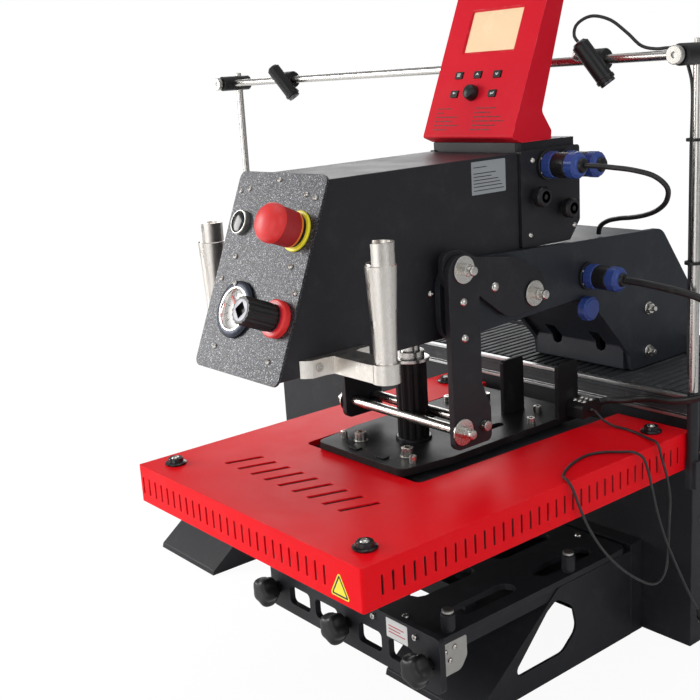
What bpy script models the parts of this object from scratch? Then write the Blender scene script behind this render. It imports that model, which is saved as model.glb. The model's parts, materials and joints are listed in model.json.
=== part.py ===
"""Pneumatic heat press with a sliding head: cabinet, feet, lower carrier, head carriage, heated platen and laser gantry.

Lengths in the functions below are in millimetres from the platen datum, the front right top corner of the
platen cover: X to the operator's right, Y to the back, Z up. The model's own origin is the middle of the
cabinet's underside, on the floor.
"""
import math

import bmesh
import bpy
from mathutils import Matrix, Vector

# ---------------------------------------------------------------- driving dimensions (mm from the platen datum)
FLOOR_Z = -301.0
CABINET_X = (-878.5, -9.5)
CABINET_Y = (540.0, 810.0)
CABINET_TOP = 31.0
RIB_TOP = 36.6
RIB_PITCH = 53.6
SHEET = 3.0
DATUM = Vector((0.444, -0.675, 0.301))

COVER_W, COVER_D, COVER_H, COVER_T = 420.0, 520.0, 46.3, 2.0
FRONT_SLOTS, SIDE_SLOTS = 26, 35
SLOT_H, SLOT_W = 21.3, 3.2
STROKE = 55.0
HEAD_TRAVEL = 444.0

HEAD_CX = -215.5
HEAD_HALF = 72.0
HEAD_TOP, HEAD_BOTTOM = 342.0, 147.0
PANEL_FOOT = Vector((HEAD_CX, 17.5, 143.6))
PANEL_UP = Vector((0.0, 0.3795, 0.9252))
PANEL_OUT = Vector((0.0, -0.9252, 0.3795))
PANEL_W, PANEL_L, PANEL_T = 155.0, 218.6, 3.0

CTRL_FOOT = Vector((-216.5, 372.3, 359.4))
CTRL_UP = Vector((0.0, 0.393, 0.9195))
CTRL_OUT = Vector((0.0, -0.9195, 0.393))

ARM_OUT = 82.5          # half width over the arm's side plates
ARM_T = 8.0
UPRIGHT_IN, UPRIGHT_OUT = 92.5, 100.5
LINK_IN, LINK_OUT = 83.5, 91.5
TOP_PIN = (260.0, 227.0)
ARM_PIVOT = (383.0, 179.0)
LOW_PIN = (250.0, 43.0)

ROD_Y, ROD_Z, ROD_R = 500.0, 440.0, 5.5
POST_X = (-902.0, 7.0)
KNOB_X = (-370.0, -228.5, -84.0)
KNOB_Z = (-199.5, -198.5, -195.0)
HANDLE_X = (-370.0, -67.0)
GAP = 0.3
ROUNDNESS = 0.62        # share of a fine circle's sides that the solids use

# ---------------------------------------------------------------- clear the scene
for old in list(bpy.data.objects):
    bpy.data.objects.remove(old, do_unlink=True)

COLOURS = {
    "red_coat": ((0.78, 0.022, 0.035), 0.42, 0.0),
    "dark_coat": ((0.028, 0.032, 0.040), 0.48, 0.0),
    "hammertone": ((0.018, 0.020, 0.026), 0.35, 0.0),
    "black_gloss": ((0.012, 0.012, 0.014), 0.18, 0.0),
    "black_plastic": ((0.016, 0.016, 0.018), 0.40, 0.0),
    "rubber": ((0.030, 0.031, 0.034), 0.65, 0.0),
    "satin_aluminium": ((0.72, 0.69, 0.65), 0.34, 1.0),
    "steel": ((0.62, 0.62, 0.63), 0.22, 1.0),
    "zinc": ((0.66, 0.64, 0.60), 0.30, 1.0),
    "estop_red": ((0.80, 0.035, 0.030), 0.50, 0.0),
    "signal_yellow": ((0.86, 0.66, 0.04), 0.45, 0.0),
    "connector_blue": ((0.035, 0.12, 0.60), 0.38, 0.0),
    "clear_face": ((0.80, 0.80, 0.76), 0.20, 0.0),
    "needle_red": ((0.70, 0.04, 0.03), 0.40, 0.0),
}
MATERIALS = {}
for key, (rgb, rough, metal) in COLOURS.items():
    made = bpy.data.materials.new(key)
    made.use_nodes = True
    shader = made.node_tree.nodes["Principled BSDF"]
    shader.inputs["Base Color"].default_value = (*rgb, 1.0)
    shader.inputs["Roughness"].default_value = rough
    shader.inputs["Metallic"].default_value = metal
    made.diffuse_color = (*rgb, 1.0)
    MATERIALS[key] = made


def world(p):
    """A point in millimetres from the platen datum, as metres in the model's frame."""
    return Vector(p) * 0.001 + DATUM


def finish_mesh(bm, name, material, origin=None, helper=False, smooth=True):
    """Turns a bmesh in datum millimetres into an object whose origin is at the given datum point."""
    at = world(origin) if origin is not None else Vector((0.0, 0.0, 0.0))
    for vert in bm.verts:
        vert.co = world(vert.co) - at
    bmesh.ops.recalc_face_normals(bm, faces=bm.faces)
    data = bpy.data.meshes.new(name)
    bm.to_mesh(data)
    bm.free()
    obj = bpy.data.objects.new(name, data)
    obj.location = at
    bpy.context.scene.collection.objects.link(obj)
    if helper:
        obj.hide_render = True
        obj.display_type = "WIRE"
    else:
        data.materials.append(MATERIALS[material])
        if smooth:
            data.shade_smooth()
            data.set_sharp_from_angle(angle=math.radians(32))
    return obj


def add_box(bm, x, y, z):
    made = bmesh.ops.create_cube(bm, size=1.0)["verts"]
    for vert in made:
        vert.co = Vector((
            x[0] + (vert.co.x + 0.5) * (x[1] - x[0]),
            y[0] + (vert.co.y + 0.5) * (y[1] - y[0]),
            z[0] + (vert.co.z + 0.5) * (z[1] - z[0]),
        ))
    return made


def add_prism(bm, outline, start, sweep):
    """A closed outline of 3-D points, moved by start, extruded along sweep."""
    low = [bm.verts.new(Vector(p) + Vector(start)) for p in outline]
    high = [bm.verts.new(Vector(p) + Vector(start) + Vector(sweep)) for p in outline]
    n = len(outline)
    bm.faces.new(low)
    bm.faces.new(list(reversed(high)))
    for i in range(n):
        bm.faces.new((low[i], high[i], high[(i + 1) % n], low[(i + 1) % n]))


def rounded(points, radius, steps=4):
    """A 2-D outline with its corners rounded; radius is one number or one per corner."""
    steps = max(2, round(steps * ROUNDNESS))
    out = []
    n = len(points)
    for i in range(n):
        r = radius[i] if isinstance(radius, (list, tuple)) else radius
        p = Vector(points[i])
        if r <= 0:
            out.append(p)
            continue
        a = (Vector(points[i - 1]) - p)
        b = (Vector(points[(i + 1) % n]) - p)
        half = a.angle(b) / 2
        reach = min(r / math.tan(half), a.length * 0.49, b.length * 0.49)
        r = reach * math.tan(half)
        start, end = p + a.normalized() * reach, p + b.normalized() * reach
        centre = p + (a.normalized() + b.normalized()).normalized() * (r / math.sin(half))
        v0, v1 = start - centre, end - centre
        turn = v0.angle(v1)
        sign = 1.0 if v0.x * v1.y - v0.y * v1.x > 0 else -1.0
        for k in range(steps + 1):
            t = sign * turn * k / steps
            out.append(centre + Vector((v0.x * math.cos(t) - v0.y * math.sin(t),
                                        v0.x * math.sin(t) + v0.y * math.cos(t))))
    return out


def oblong(cx, cy, length, width, along_x=True, steps=2):
    """A slot outline with round ends."""
    out = []
    r = width / 2
    reach = length / 2 - r
    for side in (1, -1):
        for k in range(steps * 2 + 1):
            t = math.pi * (k / (steps * 2) - 0.5)
            p = (side * (reach + r * math.cos(t)), side * r * math.sin(t))
            out.append(Vector((cx + p[0], cy + p[1])) if along_x else Vector((cx - p[1], cy + p[0])))
    return out


def yz(points, x=0.0):
    return [(x, p[0], p[1]) for p in points]


def xz(points, y=0.0):
    return [(p[0], y, p[1]) for p in points]


def xy(points, z=0.0):
    return [(p[0], p[1], z) for p in points]


def add_turned(bm, profile, base, axis, sides=24, start=0.0):
    """A solid of revolution: profile is (distance along the axis, radius), closed on the axis at both ends."""
    sides = max(10, round(sides * ROUNDNESS))
    axis = Vector(axis).normalized()
    side = axis.orthogonal().normalized()
    other = axis.cross(side)
    rings = []
    for along, r in profile:
        centre = Vector(base) + axis * along
        if r <= 1e-6:
            rings.append([bm.verts.new(centre)])
        else:
            rings.append([
                bm.verts.new(centre + (side * math.cos(t) + other * math.sin(t)) * r)
                for t in (start + 2 * math.pi * k / sides for k in range(sides))
            ])
    for a, b in zip(rings, rings[1:]):
        for k in range(sides):
            j = (k + 1) % sides
            if len(a) == 1 and len(b) == 1:
                continue
            if len(a) == 1:
                bm.faces.new((a[0], b[k], b[j]))
            elif len(b) == 1:
                bm.faces.new((a[k], a[j], b[0]))
            else:
                bm.faces.new((a[k], a[j], b[j], b[k]))
    for ring, flip in ((rings[0], True), (rings[-1], False)):
        if len(ring) > 1:
            bm.faces.new(list(reversed(ring)) if flip else ring)


def add_star(bm, base, axis, length, lobes, r_out, r_in, steps=6, taper=1.0):
    """A grip with round lobes, extruded along its axis."""
    axis = Vector(axis).normalized()
    side = axis.orthogonal().normalized()
    other = axis.cross(side)
    count = lobes * steps
    rings = []
    for along, share in ((0.0, 0.90), (length * 0.14, 1.0), (length * 0.86, 1.0 * taper), (length, 0.88 * taper)):
        ring = []
        for k in range(count):
            t = 2 * math.pi * k / count
            r = (r_in + (r_out - r_in) * (0.5 + 0.5 * math.cos(lobes * t)) ** 0.8) * share
            ring.append(bm.verts.new(Vector(base) + axis * along + (side * math.cos(t) + other * math.sin(t)) * r))
        rings.append(ring)
    for a, b in zip(rings, rings[1:]):
        for k in range(count):
            j = (k + 1) % count
            bm.faces.new((a[k], a[j], b[j], b[k]))
    bm.faces.new(list(reversed(rings[0])))
    bm.faces.new(rings[-1])


def boolean(obj, helper, how):
    mod = obj.modifiers.new(how.title(), "BOOLEAN")
    mod.operation = how
    mod.solver = "EXACT"
    mod.object = helper


def cutter(name, build):
    bm = bmesh.new()
    build(bm)
    return finish_mesh(bm, name, None, helper=True)


def solid(name, material, build, cuts=(), joins=(), origin=None):
    bm = bmesh.new()
    build(bm)
    obj = finish_mesh(bm, name, material, origin)
    for k, join in enumerate(joins):
        boolean(obj, cutter(f"{name}_join_{k}", join), "UNION")
    for k, cut in enumerate(cuts):
        boolean(obj, cutter(f"{name}_cut_{k}", cut), "DIFFERENCE")
    return obj


def panel_point(u, v, n=0.0):
    """u to the right, v up the head's front panel from its lower edge, n out of it."""
    return PANEL_FOOT + Vector((u, 0, 0)) + PANEL_UP * v + PANEL_OUT * n


def ctrl_point(u, v, n=0.0):
    return CTRL_FOOT + Vector((u, 0, 0)) + CTRL_UP * v + CTRL_OUT * n


def on_plane(place, outline, depth):
    """Outline points (u, v) on a sloped face, from n = depth[0] to n = depth[1]."""
    def build(bm):
        low = [place(p[0], p[1], depth[0]) for p in outline]
        step = place(0, 0, depth[1]) - place(0, 0, depth[0])
        add_prism(bm, low, (0, 0, 0), step)
    return build


def rect(u0, u1, v0, v1, r=0.0, steps=4):
    points = [(u0, v0), (u1, v0), (u1, v1), (u0, v1)]
    return rounded(points, r, steps) if r else [Vector(p) for p in points]


# ================================================================ cabinet
solid(
    "cabinet_housing", "dark_coat",
    lambda bm: add_box(bm, CABINET_X, CABINET_Y, (FLOOR_Z, CABINET_TOP)),
    cuts=[
        lambda bm: add_box(bm, (CABINET_X[0] + SHEET, CABINET_X[1] - SHEET), (CABINET_Y[0] + SHEET, CABINET_Y[1] + 5),
                           (FLOOR_Z + SHEET, CABINET_TOP - SHEET)),
        # running slot for the carriage keel, along the top
        lambda bm: add_box(bm, (CABINET_X[0] + 62, CABINET_X[1] - 62), (703.0, 721.0), (0.0, 60.0)),
    ],
)
solid(
    "cabinet_back_panel", "dark_coat",
    lambda bm: add_box(bm, (CABINET_X[0] + SHEET + GAP, CABINET_X[1] - SHEET - GAP), (804.0, 807.0),
                       (FLOOR_Z + SHEET + GAP, CABINET_TOP - SHEET - GAP)),
    joins=[lambda bm: add_box(bm, (-520.0, -368.0), (770.0, 805.0), (FLOOR_Z + SHEET + GAP, -250.0))],
    cuts=[lambda bm: [add_box(bm, (-700.0 + 40 * k, -688.0 + 40 * k), (795.0, 815.0), (-110.0, -50.0))
                      for k in range(13)]],
)


def ribbed(bm):
    """Ribbed mat on the cabinet top: a strip in front of the running slot and one behind it."""
    points = [(CABINET_X[0] + 1, 0.0)]
    x = CABINET_X[0] + 1
    while x + RIB_PITCH < CABINET_X[1] - 1:
        points += [(x, 5.6), (x + RIB_PITCH - 3.4, 5.6), (x + RIB_PITCH - 2.8, 3.4), (x + RIB_PITCH - 0.6, 3.4)]
        x += RIB_PITCH
    points += [(x, 5.6), (CABINET_X[1] - 1, 5.6), (CABINET_X[1] - 1, 0.0)]
    outline = [(p[0], 0.0, p[1] + CABINET_TOP + GAP) for p in points]
    add_prism(bm, outline, (0, 546.0, 0), (0, 259.0, 0))


solid(
    "ribbed_top_mat", "rubber", ribbed,
    cuts=[lambda bm: add_box(bm, (CABINET_X[0] + 62, CABINET_X[1] - 62), (703.0, 721.0), (0.0, 60.0))],
)


def profile_outline():
    """Front guide extrusion: two bright lips with a recess between them."""
    return [(539.7, 8.0), (539.7, 37.4), (532.6, 37.4), (532.6, 33.6), (536.2, 32.6), (536.2, 12.6), (532.6, 11.6),
            (532.6, 8.0)]


solid("front_guide_profile", "satin_aluminium",
      lambda bm: add_prism(bm, yz(profile_outline()), (CABINET_X[0], 0, 0), (CABINET_X[1] - CABINET_X[0], 0, 0)))
solid("linear_rail", "steel",
      lambda bm: add_prism(bm, yz([(700, -60), (724, -60), (724, -44), (719, -40), (722, -34), (702, -34), (705, -40),
                                   (700, -44)]), (-850, 0, 0), (812, 0, 0)),
      joins=[lambda bm: add_box(bm, (-845, -825), (690, 734), (-297.7, -50)),
             lambda bm: add_box(bm, (-63, -43), (690, 734), (-297.7, -50))])

# ================================================================ feet and cross plate
FOOT_X = {"right": (-240.0, -83.0), "left": (-805.0, -648.0)}


def foot_outline(inset=0.0):
    i = inset
    return rounded([(219 + 2.1 * i, FLOOR_Z - (0.0 if not i else 6.0)), (514.7 + (0 if not i else 8.0), FLOOR_Z - (0.0 if not i else 6.0)),
                    (514.7 + (0 if not i else 8.0), -181.5 - i), (372 + 0.4 * i, -181.5 - i),
                    (221 + 2.1 * i, -294.0 - i)], [0, 0, 0, 16, 3], 4)


for side, xs in FOOT_X.items():
    solid(
        f"foot_{side}", "dark_coat",
        lambda bm, xs=xs: add_prism(bm, yz(foot_outline()), (xs[0], 0, 0), (xs[1] - xs[0], 0, 0)),
        cuts=[
            lambda bm, xs=xs: add_prism(bm, yz(foot_outline(4.0)), (xs[0] + 4, 0, 0), (xs[1] - xs[0] - 8, 0, 0)),
            lambda bm, xs=xs: add_prism(
                bm, yz(rounded([(283, -272), (378, -272), (406, -250), (398, -216), (368, -196), (350, -206)],
                               [8, 20, 18, 14, 10, 14], 4)), (xs[0] - 20, 0, 0), (220, 0, 0)),
        ],
    )
solid("front_cross_plate", "dark_coat",
      lambda bm: add_box(bm, (-805.0, -83.0), (515.0, 539.7), (FLOOR_Z, -173.0)),
      cuts=[lambda bm: [add_box(bm, (-640.0, -250.0), (505.0, 534.0), (-290.0, -188.0))]])

# ================================================================ lower carrier
CARRIER_X = (-383.0, -78.0)


def carrier_cuts(bm):
    for x in (-345.0, -275.0, -181.0, -111.0):
        for y in (268.0, 410.0):
            add_prism(bm, xy(oblong(x, y, 104.0, 26.0, along_x=False)), (0, 0, -200), (0, 0, 60))
    add_prism(bm, xy(oblong(-228.0, 338.0, 150.0, 34.0, along_x=False)), (0, 0, -200), (0, 0, 60))


solid(
    "carrier_frame", "dark_coat",
    lambda bm: add_prism(bm, xy(rect(CARRIER_X[0], CARRIER_X[1], 163.0, 500.0, 12.0)), (0, 0, -177.0), (0, 0, 8.0)),
    joins=[
        lambda bm: add_box(bm, (-236.0, -221.0), (310.0, 505.0), (-181.0, -176.0)),
        lambda bm: add_turned(bm, [(0, 7), (9, 7), (10, 8.5), (28.5, 8.5), (30, 7)], (-88.0, 189.0, -177.0), (0, 0, 1), 14),
        lambda bm: add_turned(bm, [(0, 7), (9, 7), (10, 8.5), (28.5, 8.5), (30, 7)], (-88.0, 396.0, -177.0), (0, 0, 1), 14),
        lambda bm: add_turned(bm, [(0, 7), (9, 7), (10, 8.5), (28.5, 8.5), (30, 7)], (-373.0, 189.0, -177.0), (0, 0, 1), 14),
        lambda bm: add_turned(bm, [(0, 7), (9, 7), (10, 8.5), (28.5, 8.5), (30, 7)], (-373.0, 396.0, -177.0), (0, 0, 1), 14),
    ],
    cuts=[carrier_cuts],
)


def bar_windows(bm):
    for u0, u1 in ((-345.0, -303.0), (-291.0, -247.0), (-207.0, -165.0), (-152.0, -110.0)):
        add_prism(bm, xz(rect(u0, u1, -214.0, -189.0, 6.0)), (0, 130, 0), (0, 60, 0))
    for x, z in zip(KNOB_X, KNOB_Z):
        add_turned(bm, [(0, 5.3), (60, 5.3)], (x, 130, z), (0, 1, 0), 16)


solid(
    "carrier_front_bar", "dark_coat",
    lambda bm: add_prism(bm, xz(rounded([(-386, -229), (-66, -229), (-66, -160), (-386, -160)], [8, 8, 6, 6], 4)),
                         (0, 154.0, 0), (0, 8.6, 0)),
    cuts=[bar_windows],
)
for name, x, z in zip(("left", "middle", "right"), KNOB_X, KNOB_Z):
    def knob(bm, x=x, z=z):
        add_star(bm, (x, 146.0, z), (0, -1, 0), 20.0, 5, 20.0, 16.5, 4)
    solid(f"star_knob_{name}", "black_plastic", knob, origin=(x, 146.0, z),
          joins=[lambda bm, x=x, z=z: add_turned(bm, [(0, 10), (11.5, 10)], (x, 142.0, z), (0, 1, 0), 18),
                 lambda bm, x=x, z=z: add_turned(bm, [(0, 5), (22, 5)], (x, 150.0, z), (0, 1, 0), 16)])

# ================================================================ laser gantry
solid("gantry_crossbar", "steel",
      lambda bm: add_turned(bm, [(0, ROD_R - 0.8), (0.8, ROD_R), (963.2, ROD_R), (964, ROD_R - 0.8)],
                            (-948.0, ROD_Y, ROD_Z), (1, 0, 0), 18))
for side, x in zip(("left", "right"), POST_X):
    inner = -1 if side == "right" else 1
    face = CABINET_X[1] if side == "right" else CABINET_X[0]
    end = x - inner * 9.0
    solid(f"gantry_post_{side}", "steel",
          lambda bm, x=x: add_turned(bm, [(0, 5.5), (512.0, 5.5)], (x, 513.5, -70.0), (0, 0, 1), 18),
          joins=[lambda bm, a=min(face - inner * GAP, end), b=max(face - inner * GAP, end):
                 add_box(bm, (a, b), (545.0, 604.0), (-68.0, -34.0)),
                 lambda bm, x=x: add_box(bm, (x - 6.0, x + 9.0), (508.0, 560.0), (-68.0, -34.0)),
                 lambda bm, x=x: add_turned(bm, [(0, 10.0), (1.5, 11.5), (54.5, 11.5), (56, 10.0)], (x, 477.0, 440.0), (0, 1, 0), 18),
                 lambda bm, x=x: add_turned(bm, [(0, 4), (7, 4), (7.5, 8.5), (13.5, 8.5), (14, 7.5)], (x, 480.0, 440.0), (0, -1, 0), 16)],
          cuts=[lambda bm: add_turned(bm, [(0, ROD_R + GAP), (1100, ROD_R + GAP)], (-1000, ROD_Y, ROD_Z), (1, 0, 0), 18)])
LASER_X = {"left": -734.0, "right": -117.0}
LASER_AIM = Vector((0.45, 0.35, -0.82)).normalized()
THUMB_AIM = Vector((-0.50, -0.72, 0.48)).normalized()
for side, x in LASER_X.items():
    def barrel(bm, x=x):
        add_turned(bm, [(0, 12.0), (1.5, 13.0), (20.5, 13.0), (22, 12.0)], (x - 12, ROD_Y, ROD_Z), (1, 0, 0), 20)
    solid(f"laser_holder_{side}", "black_plastic", barrel, origin=(x, ROD_Y, ROD_Z),
          joins=[lambda bm, x=x: add_turned(bm, [(-27, 8.0), (-25, 10.5), (22, 10.5), (23, 11.5), (27, 11.5), (28, 10.0)],
                                            (x + 3.0, ROD_Y - 17.0, ROD_Z - 2.0), LASER_AIM, 20),
                 lambda bm, x=x: add_turned(bm, [(4, 4.0), (16, 4.0), (17, 9.0), (24, 9.0), (25, 8.0)],
                                            (x - 9.0, ROD_Y, ROD_Z), THUMB_AIM, 16)],
          cuts=[lambda bm: add_turned(bm, [(0, ROD_R + GAP), (1100, ROD_R + GAP)], (-1000, ROD_Y, ROD_Z), (1, 0, 0), 18)])

# ================================================================ head carriage: arm
ARM_PROFILE = [(240, 143), (480, 155), (512, 134), (578.5, 62), (582, 39), (725.6, 39), (721, 124), (648, 220),
               (490, 226), (240, 235)]
ARM_ROUND = [24, 30, 14, 16, 3, 4, 10, 24, 20, 30]


def arm_side(sign):
    x0 = HEAD_CX + sign * (ARM_OUT - (ARM_T if sign > 0 else 0.0)) if sign > 0 else HEAD_CX - ARM_OUT
    x0 = HEAD_CX + ARM_OUT - ARM_T if sign > 0 else HEAD_CX - ARM_OUT
    return lambda bm: add_prism(bm, yz(rounded(ARM_PROFILE, ARM_ROUND, 5)), (x0, 0, 0), (ARM_T, 0, 0))


def pivot_hole(bm):
    add_turned(bm, [(0, 8.9), (400, 8.9)], (HEAD_CX - 200, *ARM_PIVOT), (1, 0, 0), 20)


for side, sign in (("right", 1), ("left", -1)):
    base = HEAD_CX + sign * (ARM_OUT - ARM_T + 1.0)
    solid(f"arm_plate_{side}", "dark_coat", arm_side(sign),
          joins=[lambda bm, base=base, sign=sign: add_turned(
              bm, [(0, 8.0), (16.3, 8.0), (16.3, 14.0), (19.0, 14.0), (19.0, 9.2), (25.0, 9.2), (26.0, 8.0), (26.0, 4.6),
                   (30.0, 4.6), (31.0, 3.6)], (base, *ARM_PIVOT), (sign, 0, 0), 18)])


def arm_core(bm):
    """Inner box of the arm: the block between the side plates, down to the base over the cabinet."""
    outline = rounded([(384.5, 150), (478, 157), (515, 137), (576, 72), (576, 40), (722, 40), (718, 122), (646, 216.5),
                       (492, 222.5), (384.5, 226)], [3, 20, 10, 6, 2, 3, 8, 16, 12, 3], 4)
    add_prism(bm, yz(outline), (HEAD_CX - ARM_OUT + ARM_T + GAP, 0, 0), (2 * (ARM_OUT - ARM_T - GAP), 0, 0))


def core_slots(bm):
    for x in (-253.0, -178.0):
        add_prism(bm, xz(oblong(x, 98.0, 76.0, 16.0, along_x=False)), (0, 560, 0), (0, 60, 0))


solid(
    "arm_column", "dark_coat", arm_core,
    joins=[lambda bm: add_box(bm, (HEAD_CX - 70, HEAD_CX + 70), (706.0, 718.0), (-14.0, 60.0)),
           lambda bm: add_box(bm, (HEAD_CX - 70, HEAD_CX + 70), (694.0, 730.0), (-31.0, -12.0)),
           lambda bm: add_prism(bm, yz([(694.0, -14.0), (694.0, -58.0), (699.0, -58.0), (699.0, -33.7), (725.0, -33.7),
                                        (725.0, -58.0), (730.0, -58.0), (730.0, -14.0)]), (HEAD_CX - 70, 0, 0), (140, 0, 0))],
    cuts=[core_slots,
          lambda bm: add_prism(bm, yz([(584, 48), (716, 48), (711, 118), (640, 208), (592, 212), (592, 150)]),
                               (HEAD_CX - 66, 0, 0), (132, 0, 0)),
          lambda bm: add_box(bm, (HEAD_CX - 50, HEAD_CX + 50), (600.0, 690.0), (30.0, 60.0))],
)

# ================================================================ head
def head_outline(inset=0.0):
    """The head's side view; with an inset it is the hollow, carried out level through the open front."""
    i = inset
    foot, top = panel_point(0, 3.6, -PANEL_T - GAP), panel_point(0, 214.2, -PANEL_T - GAP)
    if not i:
        return [(foot.y, foot.z), (383.0, HEAD_BOTTOM), (383.0, HEAD_TOP), (top.y, top.z)]
    return [(foot.y - 20.0, foot.z + i), (383.0 - i, HEAD_BOTTOM + i), (383.0 - i, HEAD_TOP - i), (top.y, top.z - i),
            (foot.y - 20.0, top.z - i)]


solid(
    "head_housing", "dark_coat",
    lambda bm: add_prism(bm, yz(rounded(head_outline(), [0, 4, 5, 0], 3)), (HEAD_CX - HEAD_HALF, 0, 0), (2 * HEAD_HALF, 0, 0)),
    cuts=[
        lambda bm: add_prism(bm, yz(head_outline(3.0)), (HEAD_CX - HEAD_HALF + 3, 0, 0), (2 * HEAD_HALF - 6, 0, 0)),
        lambda bm: add_turned(bm, [(0, 16.0), (30, 16.0)], (-217.0, 267.0, 130.0), (0, 0, 1), 24),
        lambda bm: [add_box(bm, (HEAD_CX - 58, HEAD_CX + 58), (375, 390), (160, 330))],
    ],
)


def panel_hole(u, v, r):
    return lambda bm: add_turned(bm, [(0, r), (30, r)], panel_point(u, v, -18), PANEL_OUT, 28)


START_UV, ESTOP_UV, GAUGE_UV, REG_UV = (-52.0, 161.0), (49.0, 158.5), (-22.4, 67.9), (54.0, 67.0)
solid(
    "front_panel", "hammertone",
    on_plane(panel_point, rounded([(-PANEL_W / 2, 0), (PANEL_W / 2, 0), (PANEL_W / 2, PANEL_L), (-PANEL_W / 2, PANEL_L)],
                                  9.0, 5), (-PANEL_T, 0.0)),
    cuts=[panel_hole(*START_UV, 9.8), panel_hole(*ESTOP_UV, 13.0), panel_hole(*GAUGE_UV, 27.2), panel_hole(*REG_UV, 15.0)],
)
solid(
    "start_button_bezel", "steel",
    lambda bm: add_turned(bm, [(-14, 9.0), (0.3, 9.0), (0.3, 13.0), (3.4, 13.0), (4.6, 11.6)], panel_point(*START_UV), PANEL_OUT, 28),
    cuts=[lambda bm: add_turned(bm, [(-20, 7.4), (20, 7.4)], panel_point(*START_UV), PANEL_OUT, 28)],
)
solid("start_button", "black_plastic",
      lambda bm: add_turned(bm, [(-12, 5.0), (-9.5, 5.0), (-9.5, 7.0), (3.6, 7.0), (4.4, 6.0)], panel_point(*START_UV), PANEL_OUT, 26),
      origin=panel_point(*START_UV))
solid(
    "estop_body", "signal_yellow",
    lambda bm: add_turned(bm, [(-40, 12.0), (GAP, 12.0), (GAP, 21.5), (2.2, 21.5), (2.8, 20.8), (2.8, 14.5), (4.2, 13.5)],
                          panel_point(*ESTOP_UV), PANEL_OUT, 30),
    cuts=[lambda bm: add_turned(bm, [(-12, 8.6), (30, 8.6)], panel_point(*ESTOP_UV), PANEL_OUT, 24)],
)
solid("estop_button", "estop_red",
      lambda bm: add_turned(bm, [(-5, 8.0), (8.6, 8.0), (8.6, 18.0), (10.0, 18.6), (29.0, 19.2), (30.0, 20.6), (35.0, 20.6),
                                 (39.0, 19.4), (42.6, 16.2), (45.0, 11.0), (46.2, 5.0), (46.4, 0.0)], panel_point(*ESTOP_UV), PANEL_OUT, 30),
      origin=panel_point(*ESTOP_UV))
solid(
    "gauge_body", "steel",
    lambda bm: add_turned(bm, [(-36, 25.0), (GAP, 26.0), (GAP, 31.0), (3.0, 31.0), (4.4, 29.6), (5.2, 26.0), (5.2, 24.2)],
                          panel_point(*GAUGE_UV), PANEL_OUT, 32),
    cuts=[lambda bm: add_turned(bm, [(-1.0, 23.6), (12, 23.6)], panel_point(*GAUGE_UV), PANEL_OUT, 32)],
)
NEEDLE_TILT = math.radians(45)


def needle(bm):
    c, s = math.cos(NEEDLE_TILT), math.sin(NEEDLE_TILT)
    def turned(p):
        return (GAUGE_UV[0] + p[0] * c - p[1] * s, GAUGE_UV[1] + p[0] * s + p[1] * c)
    on_plane(panel_point, [turned(p) for p in ((-1.4, -6.0), (1.4, -6.0), (0.9, 19.0), (-0.9, 19.0))], (0.6, 1.4))(bm)


solid("gauge_needle", "needle_red", needle, origin=panel_point(*GAUGE_UV),
      joins=[lambda bm: add_turned(bm, [(-0.6, 3.0), (2.6, 3.0)], panel_point(*GAUGE_UV), PANEL_OUT, 16)])
solid("regulator_body", "estop_red",
      lambda bm: add_turned(bm, [(-62, 13.0), (-22, 13.0), (-22, 14.0), (GAP, 14.0), (GAP, 19.6), (7.6, 20.0), (9.2, 18.6)],
                            panel_point(*REG_UV), PANEL_OUT, 30))
solid("regulator_knob", "black_plastic",
      lambda bm: add_star(bm, panel_point(*REG_UV, 9.6), PANEL_OUT, 39.0, 12, 15.4, 14.4, 2, 0.93),
      origin=panel_point(*REG_UV))
solid(
    "air_cylinder", "satin_aluminium",
    lambda bm: add_turned(bm, [(0, 36), (14, 36), (14, 33), (120, 33), (120, 36), (134, 36)], (-217.0, 267.0, 168.0), (0, 0, 1), 24),
    cuts=[lambda bm: add_turned(bm, [(-5, 12.6), (118, 12.6)], (-217.0, 267.0, 168.0), (0, 0, 1), 20)],
)

# ================================================================ controller
CTRL_SIDE = [(389.0, 352.6), (440.0, 352.6), (441.0, 363.0), (424.6, 386.0), (478.0, 544.6)]


def controller_outline():
    foot, top = ctrl_point(0, 0), ctrl_point(0, 200.0)
    return rounded([(foot.y, foot.z)] + CTRL_SIDE + [(top.y, top.z)], [3, 2, 2, 3, 8, 6, 3], 3)


CTRL_BUTTONS = {"menu": (-37.0, 78.5), "up": (-5.8, 78.5), "down": (26.0, 78.0), "back": (-37.5, 55.0), "enter": (25.5, 54.5)}
ENCODER_UV = (-6.5, 55.0)


def ctrl_cuts(bm):
    on_plane(ctrl_point, rect(-42.5, 42.5, 106.0, 161.5), (-4.0, 5.0))(bm)
    for u, v in CTRL_BUTTONS.values():
        on_plane(ctrl_point, rect(u - 6.3, u + 6.3, v - 4.6, v + 4.6), (-5.0, 5.0))(bm)
    add_turned(bm, [(-8, 4.3), (6, 4.3)], ctrl_point(*ENCODER_UV), CTRL_OUT, 18)


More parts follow.
